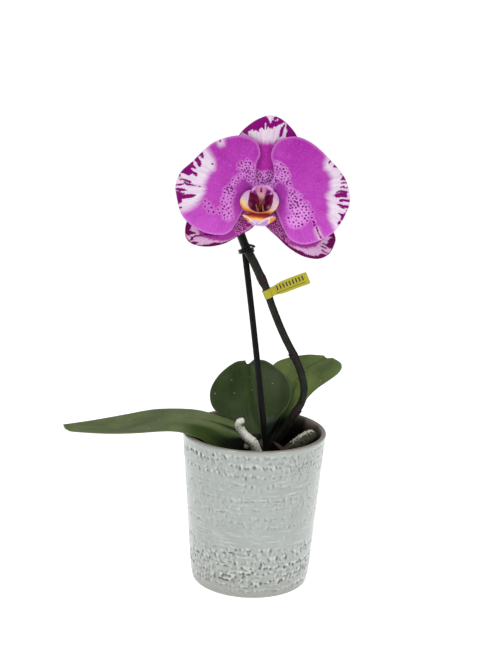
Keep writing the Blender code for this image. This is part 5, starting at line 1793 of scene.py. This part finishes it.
@dataclass(frozen=True)
class LabelFilm(Finish):
    """Printed polyester film, die-cut: smooth yellow with a low gloss, a few creases, and plain black ticks.

    Each row of ticks has its pitch, the share of it that is inked, and its low and its high edge, in
    millimetres from the middle of the strip. The printed stretch is measured along the tab.
    """

    body: str = "#a8a016"
    bright: str = "#b3a606"
    print: str = "#1d1e12"
    rows: tuple[tuple[float, float, float, float], ...] = ((3.0, 0.42, -0.8, 3.5), (0.9, 0.55, -3.3, -2.3))
    printed: Pair = (8.0, 35.0)

    def material(self) -> Material:
        """Makes the material."""
        made, put = self.start(Roughness=0.35, IOR=1.5)
        place = put("TexCoord")
        run, high = (put("Attribute", attribute_name=name) for name in ("run", "high"))
        scuff = put("TexNoise", {"Vector": place, "Scale": per_mm(5), "Detail": 4.0})
        body = put("Mix", {0: scuff, 6: self.body, 7: self.bright})
        # Ticks 3 mm apart over a row of fine ones 0.9 mm apart, along the printed stretch of the tab
        inked = None
        for pitch, part, low, top in self.rows:
            count = put("Math", {0: run, 1: pitch}, operation="DIVIDE")
            step = put("Math", {0: count}, operation="FRACT")
            tick = put("Math", {0: step, 1: part}, operation="LESS_THAN")
            bounds = ((high, top, "LESS_THAN"), (high, low, "GREATER_THAN"),
                      (run, self.printed[0], "GREATER_THAN"), (run, self.printed[1], "LESS_THAN"))
            for edge, limit, kept in bounds:
                side = put("Math", {0: edge, 1: limit}, operation=kept)
                tick = put("Math", {0: tick, 1: side}, operation="MULTIPLY")
            inked = tick if inked is None else put("Math", {0: inked, 1: tick}, operation="MAXIMUM")
        colour = put("Mix", {0: inked, 6: body, 7: self.print})
        rough = put("MapRange", {0: scuff, 1: 0.3, 2: 0.7, 3: 0.28, 4: 0.45})
        return dress(made, colour, rough, scuff, 0.15)


@dataclass
class Label:
    """The label: a strip looped round the stem, its two ends laid together as a tab. Sizes in millimetres."""

    place: Triple = (7.5, -1.0, 268.5)
    width: float = 7.8
    end_width: float = 11.0
    film: float = 0.42
    tab: float = 38.5
    slope: float = math.radians(24.0)
    stem_radius: float = 3.2

    def build(self, finish: Material) -> Piece:
        """Makes the piece: out along the back, round the stem and back along the front."""
        reach = self.stem_radius + 0.65
        half = self.film / 2 + 0.06
        lap = np.linspace(self.tab, reach + 2.4, 60)
        bend = sweep(70)
        start = math.asin(half / reach) + 0.25
        angle = start + (math.tau - 2 * start) * bend
        loop = np.stack([reach * np.cos(angle), reach * np.sin(angle)], axis=1)
        back = np.column_stack([lap, np.full(60, half)])
        front = np.column_stack([lap[::-1], np.full(60, -half)])
        path = np.vstack([back, loop, front])
        path = np.vstack([back, evenly(path[56:134], 90), front[2:]])
        run = np.concatenate([np.zeros(60), np.zeros(90), front[2:, 0]])
        across = np.linspace(-1, 1, 13)
        flare = rising(path[:, :1], 4.0, 16.0)
        high = across[None, :] * (self.width + (self.end_width - self.width) * flare) / 2
        corner = np.clip((path[:, :1] - (self.tab - 1.4)) / 1.4, 0, 1)
        high = high * (1 - 0.18 * (1 - np.sqrt(np.clip(1 - corner**2, 0, 1))))
        curl = 0.25 * (np.clip(path[:, :1] - 10, 0, None) / 28) ** 2
        x = np.broadcast_to(path[:, :1], high.shape)
        y = path[:, 1:2] - curl + 0 * high
        cos, sin = math.cos(self.slope), math.sin(self.slope)
        up = high + 0.4 * np.sin(math.pi * np.clip(x / self.tab, 0, 1))
        grid = np.stack([x * cos - up * sin, y, x * sin + up * cos], axis=-1) + np.array(self.place)
        draft = Draft()
        out = facing(grid) * self.film / 2
        outer = {"run": run[:, None], "high": high}
        draft.pair((grid + out) * MM, (grid - out) * MM, False, outer, {"run": 0.0, "high": high})
        return settle(draft.build("label_tag", finish, 40.0), "label_film", "label_tag")


# Roots, bark and what stands in it

@dataclass(frozen=True)
class RootSkin(Finish):
    """The dead outer skin of an air root: dry, matt and finely cracked, silvery or grown over with moss."""

    body: str = "#f4f3ea"
    dark: str = "#bdbca8"
    moss: str = "#5c5a3a"
    mossy: float = 0.0
    stub: str = "#5d4c30"
    rot: str = "#1c1a10"

    def material(self) -> Material:
        """Makes the material."""
        made, put = self.start(Roughness=0.8, IOR=1.4)
        place = put("TexCoord")
        under, spot, brown = (put("Attribute", attribute_name=name) for name in ("under", "spot", "brown"))
        # Cracks of a 1.6 mm net, blotches of 4 mm
        net = put("TexVoronoi", {"Vector": place, "Scale": per_mm(1.6)}, "Distance",
                  feature="DISTANCE_TO_EDGE")
        blotch = put("TexNoise", {"Vector": place, "Scale": per_mm(4), "Detail": 4.0})
        fine = put("TexNoise", {"Vector": place, "Scale": per_mm(0.8 + self.mossy), "Detail": 3.0})
        crack = put("MapRange", {0: net, 2: 0.12, 3: 0.55, 4: 0.0})
        mottle = put("MapRange", {0: blotch, 1: 0.35, 2: 0.7, 4: 0.75})
        body = put("Mix", {0: mottle, 6: self.body, 7: self.dark})
        lined = put("Mix", {0: crack, 6: body, 7: self.dark})
        # The underside turns to the moss colour: partly moss, partly painted shade
        grown = put("Math", {0: fine, 1: 1.3, 2: under})
        share = put("MapRange", {0: grown, 1: 1.08 - 0.36 * self.mossy, 2: 1.42 - 0.44 * self.mossy, 4: 0.95})
        moss_and_shade = put("Mix", {0: share, 6: lined, 7: self.moss})
        browned = put("Mix", {0: brown, 6: moss_and_shade, 7: self.stub})
        colour = put("Mix", {0: spot, 6: browned, 7: self.rot})
        return dress(made, colour, None, fine, 0.25)


@dataclass
class Root:
    """One air root along its route, wrinkled and rounded off at its tip. Sizes in millimetres."""

    name: str
    slot: str
    route: Line
    radii: tuple[float, ...]
    seed: int
    stub: Line = ()
    stub_radius: float = 2.4
    spots: tuple[tuple[float, float, float, float], ...] = ()
    front: float = 0.0
    rows: int = 96
    sides: int = 40

    def lay(self, draft: Draft, route: Line, radii: Sequence[float], rows: int, brown: float = 0.0) -> None:
        """Lays one branch.

        Args:
            draft: The mesh being laid.
            route: The branch's route.
            radii: The radii along it.
            rows: How many rings it has.
            brown: How brown it is.
        """
        line = evenly(route, rows)
        share = sweep(rows)
        wide = np.interp(share, sweep(len(radii)), radii)
        length = float(np.linalg.norm(np.diff(line, axis=0), axis=1).sum())
        left = np.clip((1 - share) * length / wide[-1], 0, 1)
        wide = wide * np.sqrt(np.clip(1 - (1 - left) ** 2, 0.02, 1))
        turn = circuit(self.sides)[None, :]
        along = (share * length)[:, None]
        rough = 0.05 * ripples(along / 9, turn, (0.3, 4), self.seed)
        rough = rough + 0.035 * ripples(along / 3, turn, (0.4, 8), self.seed + 1)
        rings = 0.02 * np.sin(along * 2.1 + 2 * np.sin(math.tau * turn))
        grid = tube_grid(line * MM, wide[:, None] * (0.95 + rough + rings) * MM, self.sides)
        outward = unit(grid - grid.mean(axis=1, keepdims=True))
        # Darker toward the underside and, by front, toward -Y: partly moss, partly painted shade
        under = np.clip(0.5 - 0.6 * outward[..., 2] - self.front * outward[..., 1], 0, 1)
        spot = np.zeros(under.shape)
        for x, y, z, size in self.spots:
            away = np.linalg.norm(grid / MM - (x, y, z), axis=-1)
            spot = np.maximum(spot, np.exp(-((away / size) ** 4)))
        draft.lay(grid, True, False, (True, True), under=under, spot=spot, brown=brown)

    def build(self, finish: Material) -> Piece:
        """Makes the piece."""
        draft = Draft()
        self.lay(draft, self.route, self.radii, self.rows)
        if self.stub:
            self.lay(draft, self.stub, (self.stub_radius, 0.9 * self.stub_radius), 30, 0.85)
        return settle(draft.build(self.name, finish, 75.0), self.slot, self.name)


ROOTS = (
    Root("root_pale", "root_silver",
         ((3.2, -7, 116.5), (2.8, -12, 119), (3.2, -16, 124), (0, -20, 134.5), (-6, -21, 140.5),
          (-11.4, -20, 146.5), (-13.4, -20, 151.5), (-11.8, -20.4, 155), (-8.9, -21, 155.4)),
         (3.4, 3.8, 4.6, 4.7, 4.9, 4.6, 4.1, 4.5, 4.7), 81,
         stub=((1, -18.5, 134.5), (-4.5, -19.3, 133.2), (-8.8, -20, 131.2)), stub_radius=3.1,
         spots=((-8.6, -25.4, 155.6, 1.0),)),
    Root("root_mossy", "root_mossy",
         ((15.2, -4.4, 111.5), (21, -8.5, 114), (28, -8.5, 121.5), (35, -8, 128.5), (42.5, -6, 133.5),
          (49.5, -2, 137.0), (56, 2.0, 139.5)),
         (3.3, 3.9, 4.6, 5.6, 6.6, 6.8, 5.4), 82, front=0.50,
         spots=((43, -12.4, 134.8, 1.8), (46.8, -9.8, 136.4, 1.5), (39.5, -14.2, 131.0, 1.4),
                (50, -6, 133, 1.3))),
    Root("root_inner_a", "root_silver", ((8, 11.0, 112.5), (6, 19, 114.5), (0, 27, 111.5), (-4, 33, 104.5)),
         (2.6, 2.1), 83, rows=50, sides=24),
    Root("root_inner_b", "root_silver", ((-1.2, 1.2, 112.5), (-11, 2, 115.5), (-21, 4, 112.5),
                                         (-28, 6, 104.5)),
         (2.6, 2.1), 84, rows=50, sides=24),
)


@dataclass(frozen=True)
class PineBark(Finish):
    """Pine bark, chipped and composted: dark, matt and flaky, with redder broken faces."""

    dark: str = "#0a0604"
    body: str = "#1a110b"
    red: str = "#331c11"

    def material(self) -> Material:
        """Makes the material."""
        made, put = self.start(Roughness=0.9, IOR=1.4)
        place = put("TexCoord")
        tint = put("Attribute", attribute_name="tint")
        # Flakes of 3 mm with fibres of 0.7 mm
        flake = put("TexNoise", {"Vector": place, "Scale": per_mm(3), "Detail": 5.0, "Roughness": 0.65})
        fibre = put("TexNoise", {"Vector": place, "Scale": per_mm(0.7), "Detail": 3.0})
        body = put("Mix", {0: flake, 6: self.dark, 7: self.body})
        share = put("Math", {0: tint, 1: fibre}, operation="MULTIPLY")
        colour = put("Mix", {0: share, 6: body, 7: self.red})
        relief = put("Math", {0: fibre, 1: 0.4, 2: flake})
        return dress(made, colour, None, relief, 0.5)


@dataclass
class BarkMix:
    """The bark in the growing pot: a filling with many broken chips on it. Sizes in millimetres.

    The pot round it has a radius and a height at its foot and at its rim.
    """

    base: float = 8.6
    top: float = 112.0
    ring: float = 44.5
    chips: int = 190
    seed: int = 7
    crown: Pair = (8.0, 2.0)
    crown_clear: float = 13.0
    pot_foot: Pair = (42.0, 7.3)
    pot_rim: Pair = (54.5, 127.8)
    inside: float = 1.4

    def radius(self, height: float) -> float:
        """The filling's radius at a height, just inside the growing pot's outer wall."""
        (narrow, low), (wide, high) = self.pot_foot, self.pot_rim
        return narrow + (wide - narrow) * (height - low) / (high - low) - self.inside

    def build(self, finish: Material) -> Piece:
        """Makes the piece."""
        draft = Draft()
        around = circle(96)
        shares = np.linspace(0.04, 0.985, 26)
        bumps = 0.9 * ripples(shares[:, None] * 5, circuit(96)[None, :], (0.5, 9), self.seed)
        rows = [np.column_stack([around * share * self.radius(self.top), self.top + bumps[step]])
                for step, share in enumerate(shares)]
        below = ((1.0, self.top - 2.0), (1.0, 60.0), (1.0, self.base), (0.3, self.base))
        rows += [np.column_stack([around * share * self.radius(height), np.full(96, height)])
                 for share, height in below]
        draft.lay(np.array(rows) * MM, True, False, (True, True), tint=0.1)

        work = bmesh.new()
        bmesh.ops.create_cube(work, size=1.0)
        bmesh.ops.subdivide_edges(work, edges=work.edges, cuts=3, use_grid_fill=True)
        unit_chip = np.array([vertex.co for vertex in work.verts])
        faces = [[vertex.index for vertex in face.verts] for face in work.faces]
        work.free()
        draw = random.Random(self.seed)
        noise = np.random.default_rng(self.seed)
        for _ in range(self.chips):
            size = np.array((draw.uniform(8, 19), draw.uniform(5.5, 11), draw.uniform(2.5, 5.5)))
            shape = unit_chip * 2
            shape = shape * (1.0 / np.maximum(np.linalg.norm(shape, ord=5, axis=1), 0.2))[:, None]
            skew = 1 + 0.22 * shape[:, [1, 2, 0]] * draw.uniform(-1, 1)
            shape = shape * skew + noise.normal(0, 0.05, shape.shape)
            turned = Matrix.Rotation(draw.uniform(0, math.tau), 3, "Z")
            turned = turned @ Matrix.Rotation(draw.gauss(0, 0.30), 3, "X")
            turned = turned @ Matrix.Rotation(draw.gauss(0, 0.25), 3, "Y")
            while True:
                reach = self.ring * math.sqrt(draw.random())
                lean = draw.uniform(0, math.tau)
                spot = (reach * math.cos(lean), reach * math.sin(lean))
                if math.dist(spot, self.crown) > self.crown_clear:
                    break
            lift = self.top + draw.uniform(-1.5, 2.0)
            points = (shape * size / 2) @ np.array(turned).T + np.array((*spot, lift))
            wide = np.linalg.norm(points[:, :2], axis=1)
            limit = self.radius(self.top) - 0.4
            points[:, :2] *= np.minimum(1.0, limit / np.maximum(wide, 1e-6))[:, None]
            first = draft.take(points * MM, tint=draw.random() ** 2)
            draft.faces += [[first + corner for corner in face] for face in faces]
        return settle(draft.build("bark_chips", finish, 35.0), "bark", "bark_mix")


@dataclass(frozen=True)
class TrunkSkin(Finish):
    """The orchid's short trunk: dry brown-green tissue wrapped in the remains of old leaf bases."""

    deep: str = "#2a2715"
    body: str = "#565027"

    def material(self) -> Material:
        """Makes the material."""
        made, put = self.start(Roughness=0.65, IOR=1.4)
        place = put("TexCoord")
        tall = put("Mapping", {"Vector": place, "Scale": (1.0, 1.0, 0.2)})
        fibre = put("TexNoise", {"Vector": tall, "Scale": per_mm(1.0), "Detail": 4.0})
        colour = put("Mix", {0: fibre, 6: self.deep, 7: self.body})
        return dress(made, colour, None, fibre, 0.4)


@dataclass
class Crown:
    """The trunk: a stub with the collars of old leaves round it. Sizes in millimetres."""

    middle: Pair = (8.0, 2.0)
    profile: Line = ((6.0, 101.5), (8.0, 104.5), (8.0, 117.0), (6.2, 120.0), (6.2, 126.0), (5.6, 129.0),
                     (3.4, 131.3), (0.8, 132.4))

    def build(self, finish: Material) -> Piece:
        """Makes the piece."""
        rows = curve(self.profile, sweep(60))
        turn = circuit(60)[None, :]
        height = rows[:, 1:2]
        collar = 0.45 * np.abs(np.sin((height - 104) * math.pi / 5.5 + 2 * np.sin(math.tau * turn)))
        radius = rows[:, :1] - 0.5 + collar * np.clip((131 - height) / 6, 0, 1)
        x = self.middle[0] + radius * np.cos(math.tau * turn)
        y = self.middle[1] + radius * np.sin(math.tau * turn)
        grid = np.stack(np.broadcast_arrays(x, y, height), axis=-1)
        draft = Draft()
        draft.lay(grid * MM, True, True, (True, True))
        return settle(draft.build("trunk", finish, 60.0), "trunk", "root_crown")


@dataclass(frozen=True)
class DrySheathSkin(Finish):
    """A dead leaf sheath: papery, brittle and reddish brown, with pale lengthwise fibres."""

    deep: str = "#1e120f"
    body: str = "#4c342d"

    def material(self) -> Material:
        """Makes the material."""
        made, put = self.start(Roughness=0.75, IOR=1.4)
        run, wide = (put("Attribute", attribute_name=name) for name in ("run", "wide"))
        spread = put("CombineXYZ", {0: run, 1: wide})
        long = put("Mapping", {"Vector": spread, "Scale": (3.0, 7.0, 1.0)})
        fibre = put("TexNoise", {"Vector": long, "Scale": 1.0, "Detail": 4.0})
        colour = put("Mix", {0: fibre, 6: self.deep, 7: self.body})
        return dress(made, colour, None, fibre, 0.2)


@dataclass
class DrySheath:
    """The dry sheath: a V-shaped curled strip on a thin foot. Sizes in millimetres."""

    route: Line = ((16.5, -18, 137.3), (20.5, -18, 134), (26, -17.5, 129.5), (30, -17.5, 133),
                   (34.5, -17.5, 138))
    half_depth: float = 2.2
    foot: Line = ((26, -17.3, 130), (26.5, -16, 119.5), (27, -15, 109.5))
    foot_radius: float = 1.2

    def build(self, finish: Material) -> Piece:
        """Makes the piece."""
        draft = Draft()
        share = sweep(70)
        line = evenly(self.route, 70)
        across = np.linspace(-1, 1, 13)[None, :]
        half = self.half_depth * np.sin(math.pi * np.clip(share, 0.06, 0.94))[:, None] * (
            1 + 0.15 * np.sin(17 * share[:, None] + 2 * across))
        curl = 0.7 * across**2 * np.sin(math.pi * share)[:, None]
        steps = (0.12 * across, 0.55 * across * half, 0.8 * across * half + curl)
        leaned = np.stack(np.broadcast_arrays(*steps), axis=-1)
        draft.shell((line[:, None, :] + leaned) * MM, 0.5 * MM, (0, -1, 1), run=share[:, None], wide=across)
        turn = circuit(18)[None, :]
        foot = evenly(self.foot, 30)
        wide = self.foot_radius * (0.85 + 0.12 * ripples(np.linspace(0, 4, 30)[:, None], turn, (0.5, 4), 9))
        draft.tube(foot * MM, wide * MM, 18, run=turn, wide=0.0, side=1.0)
        return settle(draft.build("dry_sheath", finish, 60.0), "sheath", "dry_sheath")


# Studio

@dataclass(frozen=True)
class StudioFloor(Finish):
    """A sheet of white paper under soft light: matt, even and nearly as bright as the background."""

    paper: str = "#f7f7f7"
    fibre: str = "#fbfbfb"
    glow: float = 0.68

    def material(self) -> Material:
        """Makes the material."""
        made, put = self.start(Roughness=0.9, Specular_IOR_Level=0.1, Emission_Strength=self.glow)
        place = put("TexCoord")
        grain = put("TexNoise", {"Vector": place, "Scale": per_mm(4)})
        colour = put("Mix", {0: grain, 6: self.paper, 7: self.fibre})
        shader = made.node_tree.nodes["Principled BSDF"]
        made.node_tree.links.new(colour, shader.inputs["Emission Color"])
        return dress(made, colour)


@dataclass
class Studio:
    """The floor, the lights and the camera. Sizes in metres."""

    eye: Triple = (-0.00698, -1.200, 0.52875)
    pitch: float = 0.243
    roll: float = 0.035
    lens: float = 74.908
    sensor: float = 36.0
    floor_radius: float = 1.6
    room: Triple = (0.93, 0.96, 1.0)
    room_strength: float = 0.32
    lamps: tuple[tuple[str, Triple, Triple, float, float], ...] = (
        ("key", (-0.95, -1.25, 1.35), (0.0, -0.02, 0.22), 0.4, 12.5),
        ("fill", (1.25, -1.15, 0.95), (0.0, -0.02, 0.22), 0.4, 8.5),
        ("top", (0.1, 0.35, 1.9), (0.0, 0.0, 0.2), 1.4, 7.0),
    )

    def build(self, finish: Material) -> None:
        """Makes the floor, the world, the lamps and the camera."""
        draft = Draft()
        around = np.column_stack([circle(64), np.zeros(64)])
        radii = (0.05, 0.3, 0.6, 1.0, self.floor_radius)
        draft.lay(np.array([around * radius for radius in radii]), True, True, (True, False))
        floor = draft.build("floor", finish)

        world = bpy.data.worlds.new("studio")
        bpy.context.scene.world = world
        world.use_nodes = True
        tree = world.node_tree
        tree.nodes.clear()
        seen = add(tree, "LightPath", out="Is Camera Ray")
        white = add(tree, "Background", {"Color": (1.0, 1.0, 1.0, 1.0), "Strength": 1.0})
        room = add(tree, "Background", {"Color": (*self.room, 1.0), "Strength": self.room_strength})
        mixed = add(tree, "MixShader", {0: seen, 1: room, 2: white})
        output = tree.nodes.new("ShaderNodeOutputWorld")
        tree.links.new(mixed, output.inputs["Surface"])

        for name, spot, aim, size, power in self.lamps:
            lamp = bpy.data.lights.new(name, "AREA")
            lamp.shape = "SQUARE"
            lamp.size = size
            lamp.energy = power
            made = bpy.data.objects.new(name, lamp)
            made.location = spot
            made.rotation_euler = (Vector(aim) - Vector(spot)).to_track_quat("-Z", "Y").to_euler()
            bpy.context.scene.collection.objects.link(made)

        data = bpy.data.cameras.new("camera")
        data.lens = self.lens
        data.sensor_width = self.sensor
        data.sensor_fit = "AUTO"
        data.clip_start = 0.05
        data.clip_end = 200.0
        camera = bpy.data.objects.new("camera", data)
        camera.matrix_world = (
            Matrix.Translation(self.eye)
            @ Matrix.Rotation(math.pi / 2 - self.pitch, 4, "X")
            @ Matrix.Rotation(self.roll, 4, "Z")
        )
        bpy.context.scene.collection.objects.link(camera)
        bpy.context.scene.camera = camera
        bpy.context.scene.view_settings.view_transform = "Standard"


def main() -> None:
    """Builds every piece in order."""
    logging.basicConfig(level=logging.INFO, format="%(message)s")
    Studio().build(StudioFloor("white paper").material())
    CoverPot().build(GlazedStoneware("glazed stoneware, cloth-pressed").material())

    grow_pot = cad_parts["grow_pot"]
    grow_pot.data.materials.clear()
    smoky = MouldedPlastic("smoky polypropylene, thermoformed", "#0b0a09", "#1b1916", 0.4)
    grow_pot.data.materials.append(smoky.material())

    BarkMix().build(PineBark("pine bark, chipped").material())
    Crown().build(TrunkSkin("orchid trunk, dry").material())
    leaf_finishes = (
        OrchidLeaf("left leaf, waxy", "#5a663e", "#667247", "#727e52", bright="#283d00", line=0.12),
        OrchidLeaf("centre leaf, waxy", "#2b371c", "#364423", "#404e2b", bright="#30490e", under="#33431d"),
        OrchidLeaf("right leaf, waxy", "#49592d", "#5b6b37", "#677943", line=0.2),
    )
    for leaf, finish in zip(LEAVES, leaf_finishes):
        leaf.build(finish.material())
    stem = FlowerStem()
    stem.build(StemSkin("orchid stem, fibrous").material())
    supports = Supports(stem)
    supports.build_stake(MouldedPlastic("stake polypropylene, extruded").material())
    supports.build_clip(MouldedPlastic("clip polypropylene, moulded", "#070708", "#18181a", 0.3).material())
    Label().build(LabelFilm("label polyester, printed").material())
    silver = RootSkin("air root skin, silvery").material()
    mossy = RootSkin("air root skin, mossy", "#dddbcc", "#86846a", "#2b2812", 1.0).material()
    for root in ROOTS:
        root.build(mossy if root.name == "root_mossy" else silver)
    DrySheath().build(DrySheathSkin("dry sheath, papery").material())
    petal = OrchidPetal("orchid petal, living")
    upper_sepal = OrchidPetal(
        "orchid upper sepal, living", body="#a91c97", light="#b53caa", vein="#8c0d80", flame="#840070",
        fringe=3.0, streaks=5.0,
    )
    lower_sepal = OrchidPetal(
        "orchid lower sepal, living", body="#93167f", light="#a43597", vein="#770a6b", white="#d0aaca",
        flame="#620049", dot="#6d0850", halo="#dc92cc", fringe=3.5, streaks=2.6, grain=0.06, soft=1.3,
    )
    sets = (
        (upper_sepal, "sepal", (SEPAL_DORSAL,)),
        (lower_sepal, "sepal", (SEPAL_LEFT, SEPAL_RIGHT)),
        (petal, "petal", (PETAL_LEFT, PETAL_RIGHT)),
    )
    for finish, slot, tepals in sets:
        made = finish.material()
        for tepal in tepals:
            tepal.build(made, slot)
    Lip().build(LipFlesh("lip tissue, waxy").material())
    Column().build(ColumnFlesh("column tissue, waxy").material())


if __name__ == "__main__":
    main()
